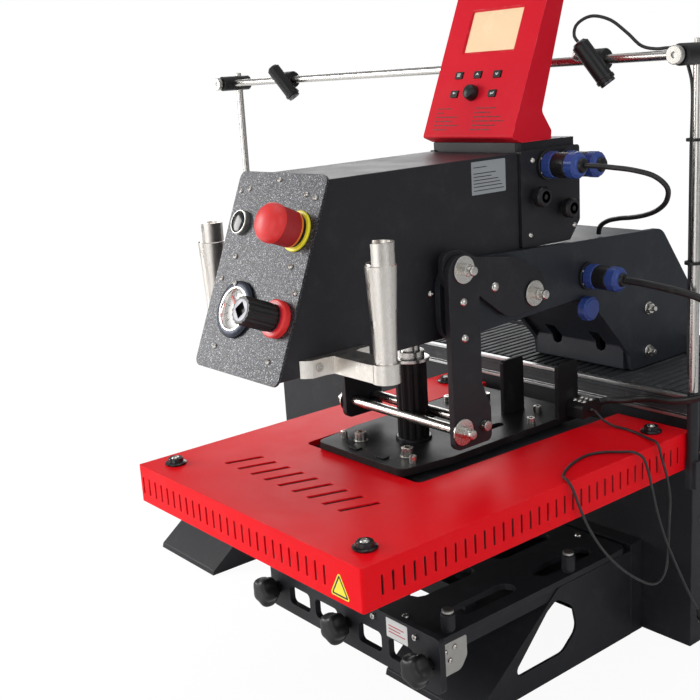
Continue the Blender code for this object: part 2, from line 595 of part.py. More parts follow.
solid(
    "controller_housing", "red_coat",
    lambda bm: add_prism(bm, yz(controller_outline()), (-216.5 - 74.5, 0, 0), (149, 0, 0)),
    cuts=[ctrl_cuts,
          lambda bm: add_prism(bm, yz([(380.8, 366.6), (421.0, 366.6), (420.0, 386.0), (424.4, 397.5), (469.5, 532.0),
                                        (452.4, 533.9)]),
                               (-285, 0, 0), (137, 0, 0)),
          lambda bm: add_box(bm, (-275, -158), (394, 416), (340, 372))],
)
for name, (u, v) in CTRL_BUTTONS.items():
    solid(f"button_{name}", "black_plastic",
          on_plane(ctrl_point, rect(u - 6.0, u + 6.0, v - 4.3, v + 4.3, 1.4, 3), (-3.2, 1.5)), origin=ctrl_point(u, v))
solid("encoder_knob", "black_plastic",
      lambda bm: add_turned(bm, [(-6, 4.0), (0.5, 4.0), (0.5, 9.6), (6, 9.4), (9.6, 8.0), (11.6, 5.0), (12.2, 0)],
                            ctrl_point(*ENCODER_UV), CTRL_OUT, 24), origin=ctrl_point(*ENCODER_UV))
# ================================================================ rear bracket between the arm and the riser
solid(
    "rear_bracket", "dark_coat",
    lambda bm: add_prism(bm, yz(rounded([(384.0, 231.0), (440.0, 229.0), (470.0, 229.0), (489.0, 252.0), (489.0, 342.9),
                                         (384.0, 342.9)], [2, 0, 4, 6, 4, 2], 3)), (HEAD_CX + 67.5, 0, 0), (8.0, 0, 0)),
    joins=[
        lambda bm: add_prism(bm, yz(rounded([(384.0, 231.0), (440.0, 229.0), (470.0, 229.0), (489.0, 252.0), (489.0, 342.9),
                                             (384.0, 342.9)], [2, 0, 4, 6, 4, 2], 3)), (HEAD_CX - 75.5, 0, 0), (8.0, 0, 0)),
        lambda bm: add_box(bm, (HEAD_CX - 74, HEAD_CX + 74), (392.0, 400.0), (230.0, 342.9)),
        lambda bm: add_prism(bm, xy(rect(-291.0, -146.0, 387.0, 489.0, 6.0, 3)), (0, 0, 341.0), (0, 0, 11.2)),
        lambda bm: add_box(bm, (HEAD_CX - 74, HEAD_CX + 74), (392.0, 462.0), (229.2, 236.0)),
        lambda bm: add_turned(bm, [(0, 5), (10, 5), (10, 10), (19, 10), (20, 9)], (HEAD_CX + 73, 407.0, 289.0), (1, 0, 0), 16),
        lambda bm: add_turned(bm, [(0, 5), (10, 5), (10, 10), (19, 10), (20, 9)], (HEAD_CX + 73, 457.0, 270.0), (1, 0, 0), 16),
    ],
)

# ================================================================ electrical connectors
def connector(base, name, lead):
    """A round plug in its panel socket: flange, body, coupling rings and cable gland, along +X."""
    return solid(name, "connector_blue",
                 lambda bm: add_turned(bm, [(0, 17.5), (4, 17.5), (4, 14.2), (12, 14.2), (12, 15.4), (30, 15.4), (30, 13.4),
                                            (38, 13.4), (38, 15.0), (48, 15.0), (48, 11.2), (57.5, 9.4)], base, (1, 0, 0), 24))


LOW_CONN = (HEAD_CX + ARM_OUT + GAP, 493.0, 181.0)
UP_CONN = (HEAD_CX + 75.5 + GAP, 428.0, 324.0)
connector(LOW_CONN, "power_connector", 0)
connector(UP_CONN, "signal_connector", 0)

# ================================================================ handles
def handle(side, x):
    """A tapered grip standing on a flat bar that is bolted to the head's side by its wide foot."""
    cone = [(0, 14.5), (20.0, 14.5), (20.3, 12.0), (21.5, 11.6), (60, 12.9), (117.3, 15.8), (118.0, 14.6), (140.0, 14.6)]
    y, z0 = 101.0, 144.0
    out = 1 if x > HEAD_CX else -1
    face = HEAD_CX + (HEAD_HALF + GAP) * out
    reach = abs(x - face)
    plan = [(0, 51), (4.7, 54), (9.7, 60.5), (9.7, 77), (12.2, 86.2), (reach - 3, 86.2), (reach - 3, 115.8), (12.2, 115.8),
            (9.7, 124), (9.7, 136), (0, 136)]
    solid(f"handle_{side}", "satin_aluminium", lambda bm: add_turned(bm, cone, (x, y, z0), (0, 0, 1), 28),
          joins=[lambda bm: add_prism(bm, xy([(face + out * t, v) for t, v in plan]), (0, 0, 145.0), (0, 0, 18.6))],
          cuts=[lambda bm: add_turned(bm, [(0, 11.5), (60, 11.5)], (x, y, z0 + 100.0), (0, 0, 1), 20),
                lambda bm: add_box(bm, (x - 22, x + 3.0), (y - 22, y + 3.0), (z0 + 120.0, z0 + 160.0))])


handle("right", HANDLE_X[1])
handle("left", HANDLE_X[0])

# ================================================================ platen
def cover_outline(inset):
    return rounded([(-COVER_W + inset, inset), (-inset, inset), (-inset, COVER_D - inset), (-COVER_W + inset, COVER_D - inset)],
                   max(3.0 - inset, 0.8), 3)


def cover_slots(bm):
    for k in range(FRONT_SLOTS):
        x = -412.0 + (412.0 - 57.4) * k / (FRONT_SLOTS - 1)
        add_box(bm, (x - SLOT_W / 2, x + SLOT_W / 2), (-6, 6), (-24.5 - SLOT_H / 2, -24.5 + SLOT_H / 2))
    for k in range(SIDE_SLOTS):
        y = 25.0 + (494.0 - 25.0) * k / (SIDE_SLOTS - 1)
        add_box(bm, (-6, 6), (y - SLOT_W / 2, y + SLOT_W / 2), (-24.5 - SLOT_H / 2, -24.5 + SLOT_H / 2))


def cover_left_slots(bm):
    for k in range(SIDE_SLOTS):
        y = 25.0 + (494.0 - 25.0) * k / (SIDE_SLOTS - 1)
        add_box(bm, (-COVER_W - 6, -COVER_W + 6), (y - SLOT_W / 2, y + SLOT_W / 2), (-24.5 - SLOT_H / 2, -24.5 + SLOT_H / 2))


def cover_vents(bm):
    """A row of slanted louvres in the top, in front of the press post."""
    for k in range(9):
        x = -333.0 + 27.0 * k
        add_prism(bm, xy([(x - 11, 74), (x - 4, 74), (x + 11, 118), (x + 4, 118)]), (0, 0, -8), (0, 0, 16))


solid(
    "platen_cover", "red_coat",
    lambda bm: add_prism(bm, xy(cover_outline(0.0)), (0, 0, -COVER_H), (0, 0, COVER_H)),
    cuts=[
        lambda bm: add_prism(bm, xy(cover_outline(COVER_T)), (0, 0, -COVER_H - 10), (0, 0, COVER_H + 10 - COVER_T)),
        cover_slots, cover_left_slots, cover_vents,
        lambda bm: add_prism(bm, xy(rounded([(-325, 183), (-119, 183), (-107, 540), (-340, 540)], [8, 8, 0, 0], 3)),
                             (0, 0, -20), (0, 0, 40)),
    ],
)
solid("heater_block", "satin_aluminium",
      lambda bm: add_prism(bm, xy(rect(-410, -10, 10, 510, 5, 3)), (0, 0, -45.8), (0, 0, 36.8)))


def plate_outline():
    return rounded([(-297, 180), (-144, 180), (-132, 250), (-132, 478), (-309, 478), (-309, 250)], [11, 11, 20, 8, 8, 20], 4)


solid(
    "mounting_plate", "black_gloss",
    lambda bm: add_prism(bm, xy(plate_outline()), (0, 0, 1.0), (0, 0, 9.0)),
    joins=[
        # spacer down to the insulation pad
        lambda bm: add_box(bm, (-285, -156), (200, 470), (-8.7, 2.0)),
        lambda bm: add_prism(bm, yz(rounded([(432, 8), (470, 8), (470, 80), (432, 80)], [0, 0, 5, 5], 3)), (-136.5, 0, 0), (6, 0, 0)),
        lambda bm: add_prism(bm, yz(rounded([(402, 8), (440, 8), (440, 80), (402, 80)], [0, 0, 5, 5], 3)), (-200.0, 0, 0), (6, 0, 0)),
    ],
    cuts=[
        lambda bm: add_prism(bm, xy(oblong(-172, 344, 62, 12, along_x=False)), (0, 0, -15), (0, 0, 30)),
        lambda bm: add_prism(bm, xy(oblong(-262, 344, 62, 12, along_x=False)), (0, 0, -15), (0, 0, 30)),
    ],
)
solid("heater_terminal_block", "black_plastic",
      lambda bm: add_prism(bm, yz(rounded([(447, 10.3), (483, 10.3), (483, 30), (447, 30)], [0, 0, 8, 8], 4)), (-130.0, 0, 0), (24.7, 0, 0)),
      joins=[lambda bm: add_box(bm, (-130.2, -108), (447, 477.5), (9.9 + GAP + 0.1, 12)),])


def upright_outline():
    return rounded([(236, 24), (288, 24), (300, 14), (300, 70), (284, 96), (284, 241), (237, 241), (236, 96)],
                   [8, 0, 0, 10, 20, 20, 20, 10], 4)


def upright(sign):
    def build(bm):
        outline = rounded([(237, 22), (297, 22), (297, 62), (284, 92), (284, 243), (237, 243)], [10, 8, 14, 20, 21, 21], 4)
        x0 = HEAD_CX + (UPRIGHT_IN if sign > 0 else -UPRIGHT_OUT)
        add_prism(bm, yz(outline), (x0, 0, 0), (UPRIGHT_OUT - UPRIGHT_IN, 0, 0))
    return build


for side, sign in (("right", 1), ("left", -1)):
    base = HEAD_CX + sign * (LINK_IN + 0.4)
    solid(f"upright_{side}", "dark_coat", upright(sign),
          joins=[lambda bm, base=base, sign=sign: add_turned(
              bm, [(0, 6.0), (17.0, 6.0), (17.0, 15.0), (19.4, 15.0), (19.4, 8.6), (26.0, 8.6), (27.0, 7.6), (27.0, 5.0),
                   (30.0, 5.0), (31.0, 4.0)], (base, *TOP_PIN), (sign, 0, 0), 18)],
          cuts=[lambda bm: add_turned(bm, [(0, 6.3), (400, 6.3)], (HEAD_CX - 200, *LOW_PIN), (1, 0, 0), 18),
                lambda bm: add_turned(bm, [(0, 6.3), (400, 6.3)], (HEAD_CX - 200, LOW_PIN[0] + 34, LOW_PIN[1]), (1, 0, 0), 18)])
def rod_profile(half):
    return [(0, 5.0), (0.6, 6.0), (2 * half - 0.6, 6.0), (2 * half, 5.0)]


for name, dy in (("front", 0.0), ("rear", 34.0)):
    solid(f"cross_rod_{name}", "steel",
          lambda bm, dy=dy: add_turned(bm, rod_profile(108.0), (HEAD_CX - 108.0, LOW_PIN[0] + dy, LOW_PIN[1]), (1, 0, 0), 18))


def fluted(bm):
    count, base = 36, Vector((-217.0, 267.0, 10.3))
    rings = []
    for z, r0, r1 in ((0.0, 19.0, 17.2), (96.0, 19.0, 17.2)):
        ring = []
        for k in range(count):
            t = 2 * math.pi * k / count
            r = r0 if k % 3 else r1
            ring.append(bm.verts.new(base + Vector((r * math.cos(t), r * math.sin(t), z))))
        rings.append(ring)
    for k in range(count):
        j = (k + 1) % count
        bm.faces.new((rings[0][k], rings[0][j], rings[1][j], rings[1][k]))
    bm.faces.new(list(reversed(rings[0])))
    bm.faces.new(rings[1])


solid("press_post", "black_gloss", fluted,
      joins=[lambda bm: add_turned(bm, [(0, 15), (3, 15)], (-217.0, 267.0, 104.0), (0, 0, 1), 24)],
      # the cross rods lie in grooves in the post's flanks
      cuts=[lambda bm: [add_turned(bm, [(0, 6.4), (120, 6.4)], (-277.0, LOW_PIN[0] + dy, LOW_PIN[1]), (1, 0, 0), 18)
                        for dy in (0.0, 34.0)]])
solid("piston_rod", "steel",
      lambda bm: add_turned(bm, [(0, 23.0), (4.0, 23.0), (4.0, 17.0), (12.0, 17.0), (12.0, 12.0), (113.0, 12.0)],
                            (-217.0, 267.0, 107.4), (0, 0, 1), 24))

# ================================================================ links
def link(sign):
    """A wide cranked plate from the arm's pivot to the press pin, with a hollow-curved lower edge."""
    dy, dz = TOP_PIN[0] - ARM_PIVOT[0], TOP_PIN[1] - ARM_PIVOT[1]
    length = math.hypot(dy, dz)
    along = Vector((dy / length, dz / length))
    across = Vector((-along.y, along.x))
    def place(a, b):
        p = Vector(ARM_PIVOT) + along * a + across * b
        return (p.x, p.y)
    def build(bm):
        outline = rounded([(238, 204), (238, 248), (264, 248), (290, 236), (352, 227), (405, 199), (405, 158), (338, 158),
                           (300, 186), (276, 204)], [20, 20, 8, 10, 22, 22, 22, 26, 30, 8], 4)
        x0 = HEAD_CX + (LINK_IN if sign > 0 else -LINK_OUT)
        add_prism(bm, yz(outline), (x0, 0, 0), (LINK_OUT - LINK_IN, 0, 0))
    def slot(bm):
        outline = []
        for k in range(9):
            t = math.pi * (-0.5 + k / 8)
            outline.append(place(133.0 + 8.2 * math.cos(t), 8.2 * math.sin(t)))
        for k in range(9):
            t = math.pi * (0.5 + k / 8)
            outline.append(place(122.4 + 8.2 * math.cos(t), 8.2 * math.sin(t)))
        add_prism(bm, yz(outline), (HEAD_CX - 200, 0, 0), (400, 0, 0))
    return build, slot


for side, sign in (("right", 1), ("left", -1)):
    build, slot = link(sign)
    solid(f"link_{side}", "dark_coat", build, cuts=[slot, pivot_hole], origin=(HEAD_CX + sign * LINK_IN, *ARM_PIVOT))

# ================================================================ cords
def smooth_route(points, spacing):
    """Centripetal curve through the route's own points, read at an even spacing (mm)."""
    pts = [Vector(p) for p in points]
    pts = [pts[0] * 2 - pts[1]] + pts + [pts[-1] * 2 - pts[-2]]
    dense = []
    for i in range(1, len(pts) - 2):
        p0, p1, p2, p3 = pts[i - 1:i + 3]
        t0 = 0.0
        t1 = t0 + (p1 - p0).length ** 0.5
        t2 = t1 + (p2 - p1).length ** 0.5
        t3 = t2 + (p3 - p2).length ** 0.5
        for k in range(24):
            t = t1 + (t2 - t1) * k / 24
            a1 = p0 * ((t1 - t) / (t1 - t0)) + p1 * ((t - t0) / (t1 - t0))
            a2 = p1 * ((t2 - t) / (t2 - t1)) + p2 * ((t - t1) / (t2 - t1))
            a3 = p2 * ((t3 - t) / (t3 - t2)) + p3 * ((t - t2) / (t3 - t2))
            b1 = a1 * ((t2 - t) / (t2 - t0)) + a2 * ((t - t0) / (t2 - t0))
            b2 = a2 * ((t3 - t) / (t3 - t1)) + a3 * ((t - t1) / (t3 - t1))
            dense.append(b1 * ((t2 - t) / (t2 - t1)) + b2 * ((t - t1) / (t2 - t1)))
    dense.append(pts[-2])
    total = sum((b - a).length for a, b in zip(dense, dense[1:]))
    count = max(2, round(total / spacing))
    out, walked, target, step = [dense[0]], 0.0, total / count, total / count
    for a, b in zip(dense, dense[1:]):
        seg = (b - a).length
        while walked + seg >= target - 1e-9 and len(out) < count:
            out.append(a.lerp(b, (target - walked) / seg))
            target += step
        walked += seg
    out.append(dense[-1])
    return out


def cord(name, route, diameter, material, resolution):
    spacing = diameter * 3.0
    points = smooth_route(route, spacing)
    if len(points) > 64:
        points = smooth_route(route, sum((b - a).length for a, b in zip(points, points[1:])) / 63)
    data = bpy.data.curves.new(name, "CURVE")
    data.dimensions = "3D"
    spline = data.splines.new("POLY")
    spline.points.add(len(points) - 1)
    for target, p in zip(spline.points, points):
        target.co = (*world(p), 1.0)
    data.bevel_depth = diameter * 0.0005
    data.bevel_resolution = resolution
    data.use_fill_caps = True
    data.materials.append(MATERIALS[material])
    obj = bpy.data.objects.new(name, data)
    bpy.context.scene.collection.objects.link(obj)
    return obj


POWER_ROUTE = [
    (LOW_CONN[0] + 57.5 + GAP, 493.0, 181.0), (-55, 493, 180.5), (-30, 493.5, 178.5), (0, 495, 175), (28, 497, 169), (52, 500, 156),
    (68, 501, 134), (72, 501, 106), (62, 499.5, 80), (42, 498, 60), (14, 499, 47), (-16, 506, 38), (-52, 518, 31),
    (-80, 522.0, 24), (-98, 516.0, 20.5), (-112, 508, 20), (-115.4, 496, 20.0), (-115.5, 485.2, 20.0),
]
SIGNAL_ROUTE = [
    (UP_CONN[0] + 57.5 + GAP, 428.0, 324.0), (-68, 428.8, 323.8), (-48, 432.5, 322.3), (-26, 442, 318.8), (-9, 457, 311), (-3, 472, 297),
    (-12, 484, 281), (-32, 496, 268), (-58, 508, 259), (-86, 519, 253), (-112, 528, 249), (-136, 536, 243), (-151, 541, 234),
    (-154, 542.5, 225.2),
]
LEAD_ROUTE = [
    (-104.6, 462, 20.0), (-98.5, 462.0, 19.6), (-88, 464, 10), (-76, 468, 3.6), (-58, 471, 2.2), (-38, 467, 2.0), (-18, 459, 2.6),
    (-5, 452, 4.2), (1.5, 449, 4.2), (5.6, 448, 0), (7.4, 451, -14), (7.5, 462, -42), (7.0, 469, -72), (6.5, 468, -104), (7.0, 466, -134),
    (8.0, 461, -158), (8.0, 450, -169), (7.5, 436, -169), (7.0, 412, -156), (7.0, 378, -130), (7.0, 346, -98), (6.5, 320, -62),
    (6.5, 302, -28), (6.0, 293, -7), (1.5, 290, 2.8), (-8, 295, 2.6), (-18, 308, 2.2), (-27, 328, 2.1), (-33, 350, 2.1), (-34, 371, 2.2),
    (-26, 388, 2.4), (-12, 400, 2.6), (-1, 407, 3.2), (8.0, 413, -2), (11.0, 419, -18), (11.5, 427, -44), (11.5, 438, -78),
    (11.5, 452, -112), (11.5, 470, -146), (12, 489, -180), (13, 506, -210), (14, 520, -232),
]
cord("power_cable", POWER_ROUTE, 9.0, "black_plastic", 3)
cord("signal_cable", SIGNAL_ROUTE, 6.0, "black_plastic", 2)
cord("sensor_lead", LEAD_ROUTE, 3.2, "black_plastic", 2)
solid("sensor_plug", "black_plastic",
      lambda bm: add_turned(bm, [(0, 2.6), (3, 3.4), (12, 4.2), (12.5, 6.2), (34, 6.2), (35, 5.4)],
                            Vector((14, 520, -232)) + Vector((0.05, 0.537, -0.842)) * GAP, (0.05, 0.537, -0.842), 14))
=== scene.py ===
"""Finish model of a pneumatic heat press: its fine surfaces, fasteners, cords, materials, light and camera.

Lengths in the modelling functions are millimetres from the platen datum, the front right top corner of the
platen cover: X to the operator's right, Y to the back, Z up.
"""
import json
import math

import bmesh
import bpy
from mathutils import Matrix, Vector

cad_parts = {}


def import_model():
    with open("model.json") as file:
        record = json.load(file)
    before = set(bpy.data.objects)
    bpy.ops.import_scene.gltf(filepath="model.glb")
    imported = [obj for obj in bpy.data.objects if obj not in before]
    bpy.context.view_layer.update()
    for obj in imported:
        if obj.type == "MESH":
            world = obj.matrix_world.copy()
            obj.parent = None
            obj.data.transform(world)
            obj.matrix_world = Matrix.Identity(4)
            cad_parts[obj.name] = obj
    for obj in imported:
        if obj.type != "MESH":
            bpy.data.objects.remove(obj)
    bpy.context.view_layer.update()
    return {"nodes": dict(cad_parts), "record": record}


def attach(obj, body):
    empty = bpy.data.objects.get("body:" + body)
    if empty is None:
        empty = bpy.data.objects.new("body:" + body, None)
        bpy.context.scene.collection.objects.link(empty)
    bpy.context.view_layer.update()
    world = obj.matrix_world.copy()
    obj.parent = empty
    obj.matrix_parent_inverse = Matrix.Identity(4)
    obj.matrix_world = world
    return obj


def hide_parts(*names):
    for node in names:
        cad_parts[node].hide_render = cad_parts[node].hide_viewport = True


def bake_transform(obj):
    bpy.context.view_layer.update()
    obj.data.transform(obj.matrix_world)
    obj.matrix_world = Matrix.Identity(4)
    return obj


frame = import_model()
BODY_OF = {node: body for body, nodes in frame["record"]["behaviour"]["bodies"].items() for node in nodes}

# ---------------------------------------------------------------- camera
scene = bpy.context.scene
lens = bpy.data.cameras.new("camera")
lens.lens, lens.sensor_width, lens.sensor_fit = 56.05, 36.0, "HORIZONTAL"
lens.clip_start, lens.clip_end = 0.05, 50.0
camera = bpy.data.objects.new("camera", lens)
scene.collection.objects.link(camera)
RIGHT, UPWARD, TOWARD = Vector((0.63323, 0.77152, -0.06143)), Vector((-0.15022, 0.20038, 0.96813)), Vector((0.75924, -0.60383, 0.24278))
camera.matrix_world = Matrix((
    (RIGHT.x, UPWARD.x, TOWARD.x, 1.16725), (RIGHT.y, UPWARD.y, TOWARD.y, -1.24658), (RIGHT.z, UPWARD.z, TOWARD.z, 0.73967),
    (0, 0, 0, 1)))
scene.camera = camera
scene.view_settings.view_transform = "Standard"

# ---------------------------------------------------------------- driving dimensions (mm from the platen datum)
FLOOR_Z = -301.0
CABINET_X = (-878.5, -9.5)
CABINET_Y = (540.0, 810.0)
CABINET_TOP = 31.0
RIB_PITCH = 13.4
SHEET = 3.0
DATUM = Vector((0.444, -0.675, 0.301))
COVER_W, COVER_D, COVER_H, COVER_T = 420.0, 520.0, 46.3, 2.0
FRONT_SLOTS, SIDE_SLOTS = 26, 35
SLOT_H, SLOT_W = 21.3, 3.2
HEAD_CX = -215.5
HEAD_HALF = 72.0
HEAD_TOP, HEAD_BOTTOM = 342.0, 147.0
PANEL_FOOT = Vector((HEAD_CX, 17.5, 143.6))
PANEL_UP = Vector((0.0, 0.3795, 0.9252))
PANEL_OUT = Vector((0.0, -0.9252, 0.3795))
PANEL_W, PANEL_L, PANEL_T = 155.0, 218.6, 3.0
CTRL_FOOT = Vector((-216.5, 372.3, 359.4))
CTRL_UP = Vector((0.0, 0.393, 0.9195))
CTRL_OUT = Vector((0.0, -0.9195, 0.393))
ARM_OUT = 82.5
ARM_T = 8.0
UPRIGHT_IN, UPRIGHT_OUT = 92.5, 100.5
LINK_IN, LINK_OUT = 83.5, 91.5
TOP_PIN = (260.0, 227.0)
ARM_PIVOT = (383.0, 179.0)
LOW_PIN = (250.0, 43.0)
ROD_Y, ROD_Z, ROD_R = 500.0, 440.0, 5.5
POST_X = (-902.0, 7.0)
KNOB_X = (-370.0, -228.5, -84.0)
KNOB_Z = (-199.5, -198.5, -195.0)
HANDLE_X = (-370.0, -67.0)
GAP = 0.3
ROUNDNESS = 2.0


# ---------------------------------------------------------------- materials
class Graph:
    """Short names for building one material's nodes."""

    def __init__(self, name):
        self.material = bpy.data.materials.new(name)
        self.material.use_nodes = True
        self.tree = self.material.node_tree
        self.shader = self.tree.nodes["Principled BSDF"]
        self.place = self.add("ShaderNodeTexCoord").outputs["Object"]

    def add(self, kind, **props):
        node = self.tree.nodes.new(kind)
        for key, value in props.items():
            setattr(node, key, value)
        return node

    def link(self, a, b):
        self.tree.links.new(a, b)

    def stretched(self, scale):
        node = self.add("ShaderNodeMapping")
        node.inputs["Scale"].default_value = scale
        self.link(self.place, node.inputs["Vector"])
        return node.outputs["Vector"]

    def noise(self, scale, detail=3.0, rough=0.55, vector=None):
        node = self.add("ShaderNodeTexNoise")
        node.inputs["Scale"].default_value = scale
        node.inputs["Detail"].default_value = detail
        node.inputs["Roughness"].default_value = rough
        self.link(vector or self.place, node.inputs["Vector"])
        return node.outputs["Fac"]

    def cells(self, scale, vector=None):
        node = self.add("ShaderNodeTexVoronoi")
        node.inputs["Scale"].default_value = scale
        self.link(vector or self.place, node.inputs["Vector"])
        return node

    def ramp(self, value, low, high, to_low=0.0, to_high=1.0):
        node = self.add("ShaderNodeMapRange")
        for key, v in (("From Min", low), ("From Max", high), ("To Min", to_low), ("To Max", to_high)):
            node.inputs[key].default_value = v
        self.link(value, node.inputs["Value"])
        return node.outputs["Result"]

    def math(self, how, a, b):
        node = self.add("ShaderNodeMath", operation=how)
        for socket, v in zip(node.inputs, (a, b)):
            if isinstance(v, (int, float)):
                socket.default_value = v
            else:
                self.link(v, socket)
        return node.outputs[0]

    def mix(self, factor, a, b):
        node = self.add("ShaderNodeMix", data_type="RGBA")
        self.link(factor, node.inputs["Factor"])
        for socket, v in ((node.inputs[6], a), (node.inputs[7], b)):
            if isinstance(v, (tuple, list)):
                socket.default_value = (*v, 1.0)
            else:
                self.link(v, socket)
        return node.outputs[2]

    def bump(self, layers):
        """layers: (height, strength, distance in metres), each on top of the one before."""
        normal = None
        for height, strength, distance in layers:
            node = self.add("ShaderNodeBump")
            node.inputs["Strength"].default_value = strength
            node.inputs["Distance"].default_value = distance
            self.link(height, node.inputs["Height"])
            if normal is not None:
                self.link(normal, node.inputs["Normal"])
            normal = node.outputs["Normal"]
        self.link(normal, self.shader.inputs["Normal"])

    def worn_edges(self, radius=0.0012, sharp=(0.86, 0.985)):
        """1 on convex edges and corners, broken up by noise, 0 on flats."""
        bevel = self.add("ShaderNodeBevel", samples=4)
        bevel.inputs["Radius"].default_value = radius
        geometry = self.add("ShaderNodeNewGeometry")
        dot = self.add("ShaderNodeVectorMath", operation="DOT_PRODUCT")
        self.link(bevel.outputs["Normal"], dot.inputs[0])
        self.link(geometry.outputs["Normal"], dot.inputs[1])
        edge = self.ramp(dot.outputs["Value"], sharp[0], sharp[1], 1.0, 0.0)
        return self.math("MULTIPLY", edge, self.ramp(self.noise(90.0, 4.0), 0.42, 0.62))


MATERIALS = {}


def coat(name, colour, rough, lighter, *, grain=1500.0, depth=0.00006, strength=0.35, vary=0.10, dust=0.05, wear=None, specular=0.5):
    """Powder coat: fine orange peel, slow changes of shade, a trace of dust, and worn edges."""
    g = Graph(name)
    slow = g.noise(7.0, 4.0, 0.6)
    fine = g.noise(grain, 2.0, 0.5)
    peel = g.noise(grain * 0.28, 2.0, 0.5)
    base = g.mix(g.ramp(slow, 0.3, 0.7), tuple(c * (1 - vary) for c in colour), tuple(min(1.0, c * (1 + vary)) for c in colour))
    base = g.mix(g.ramp(fine, 0.45, 0.75, 0.0, 0.22), base, lighter)
    base = g.mix(g.ramp(g.noise(33.0, 6.0, 0.7), 0.52, 0.85, 0.0, dust), base, (0.55, 0.54, 0.52))
    if wear:
        base = g.mix(g.math("MULTIPLY", g.worn_edges(), wear[1]), base, wear[0])
    g.link(base, g.shader.inputs["Base Color"])
    smudge = g.ramp(g.noise(18.0, 5.0, 0.65), 0.35, 0.7, rough - 0.03, rough + 0.05)
    g.link(g.math("ADD", smudge, g.ramp(fine, 0.3, 0.7, -0.04, 0.04)), g.shader.inputs["Roughness"])
    g.shader.inputs["Specular IOR Level"].default_value = specular
    g.bump([(peel, strength * 0.6, depth * 2.0), (fine, strength, depth)])
    MATERIALS[name] = g.material
    return g


def plastic(name, colour, rough, *, vary=0.08, grain=2200.0, depth=0.00002, strength=0.3, coat_weight=0.0, dust=0.04, specular=0.5):
    """Moulded plastic or rubber: faint spark grain, uneven gloss and dust."""
    g = Graph(name)
    base = g.mix(g.ramp(g.noise(22.0, 4.0), 0.3, 0.7), tuple(c * (1 - vary) for c in colour), tuple(min(1.0, c * (1 + vary)) for c in colour))
    base = g.mix(g.ramp(g.noise(70.0, 6.0, 0.7), 0.55, 0.85, 0.0, dust), base, (0.6, 0.58, 0.55))
    g.link(base, g.shader.inputs["Base Color"])
    g.link(g.ramp(g.noise(40.0, 5.0, 0.65), 0.3, 0.75, rough - 0.07, rough + 0.10), g.shader.inputs["Roughness"])
    g.shader.inputs["Coat Weight"].default_value = coat_weight
    g.shader.inputs["Coat Roughness"].default_value = 0.08
    g.shader.inputs["Specular IOR Level"].default_value = specular
    g.bump([(g.noise(grain, 2.0), strength, depth)])
    MATERIALS[name] = g.material
    return g


def metal(name, colour, rough, *, lay=(1.0, 1.0, 1.0), scale=900.0, depth=0.00001, strength=0.25, vary=0.08, stain=0.12, stain_colour=(0.25, 0.23, 0.21)):
    """Bare or plated metal: lay of the machining along one axis, handling marks and light staining."""
    g = Graph(name)
    lines = g.noise(scale, 3.0, 0.6, g.stretched(lay))
    base = g.mix(g.ramp(lines, 0.3, 0.7), tuple(c * (1 - vary) for c in colour), tuple(min(1.0, c * (1 + vary)) for c in colour))
    base = g.mix(g.ramp(g.noise(45.0, 6.0, 0.7), 0.55, 0.85, 0.0, stain), base, stain_colour)
    g.link(base, g.shader.inputs["Base Color"])
    g.shader.inputs["Metallic"].default_value = 1.0
    patch = g.ramp(g.noise(60.0, 5.0, 0.7), 0.3, 0.75, rough - 0.06, rough + 0.12)
    g.link(g.math("ADD", patch, g.ramp(lines, 0.3, 0.7, -0.04, 0.05)), g.shader.inputs["Roughness"])
    g.bump([(lines, strength, depth)])
    MATERIALS[name] = g.material
    return g


coat("red_coat", (0.80, 0.0035, 0.010), 0.42, (0.90, 0.018, 0.026), grain=1700.0, vary=0.04, dust=0.012, strength=0.35,
     wear=((0.86, 0.16, 0.15), 0.4), specular=0.07)
coat("controller_red", (0.62, 0.008, 0.022), 0.46, (0.78, 0.030, 0.050), grain=1500.0, vary=0.05, dust=0.02, strength=0.4,
     wear=((0.88, 0.28, 0.28), 0.4), specular=0.10)
coat("dark_coat", (0.0150, 0.0150, 0.0180), 0.46, (0.046, 0.048, 0.056), grain=1300.0, vary=0.12, dust=0.03, strength=0.5,
     wear=((0.12, 0.12, 0.13), 0.5), specular=0.26)
coat("arm_coat", (0.0170, 0.0205, 0.0265), 0.44, (0.050, 0.057, 0.070), grain=1300.0, vary=0.12, dust=0.04, strength=0.5,
     wear=((0.14, 0.14, 0.15), 0.5), specular=0.28)
coat("black_gloss", (0.009, 0.009, 0.010), 0.42, (0.016, 0.016, 0.018), grain=900.0, depth=0.00002, strength=0.2, vary=0.1, dust=0.04,
     wear=((0.10, 0.10, 0.11), 0.4), specular=0.14)
plastic("black_plastic", (0.0095, 0.0095, 0.0105), 0.38, specular=0.35)
plastic("black_shiny", (0.010, 0.010, 0.011), 0.16, dust=0.03)
plastic("rubber", (0.020, 0.022, 0.026), 0.62, vary=0.2, dust=0.12, strength=0.5)
plastic("cable_jacket", (0.013, 0.013, 0.014), 0.45, vary=0.15, dust=0.06)
plastic("estop_red", (0.74, 0.026, 0.026), 0.44, vary=0.05, grain=1700.0, depth=0.00004, strength=0.5, dust=0.06)
plastic("estop_skirt", (0.36, 0.010, 0.013), 0.46, vary=0.08, grain=1700.0, depth=0.00004, strength=0.5)
plastic("signal_yellow", (0.88, 0.76, 0.03), 0.38, vary=0.06)
plastic("orange_ring", (0.85, 0.22, 0.02), 0.4)
plastic("connector_blue", (0.030, 0.062, 0.250), 0.36, vary=0.12, specular=0.35)
plastic("ring_red", (0.60, 0.010, 0.030), 0.34, vary=0.08)
plastic("needle_red", (0.62, 0.03, 0.02), 0.4)
plastic("wire_green", (0.10, 0.45, 0.10), 0.4)
plastic("wire_yellow", (0.80, 0.72, 0.06), 0.4)
plastic("print_white", (0.72, 0.72, 0.72), 0.5, dust=0.02)
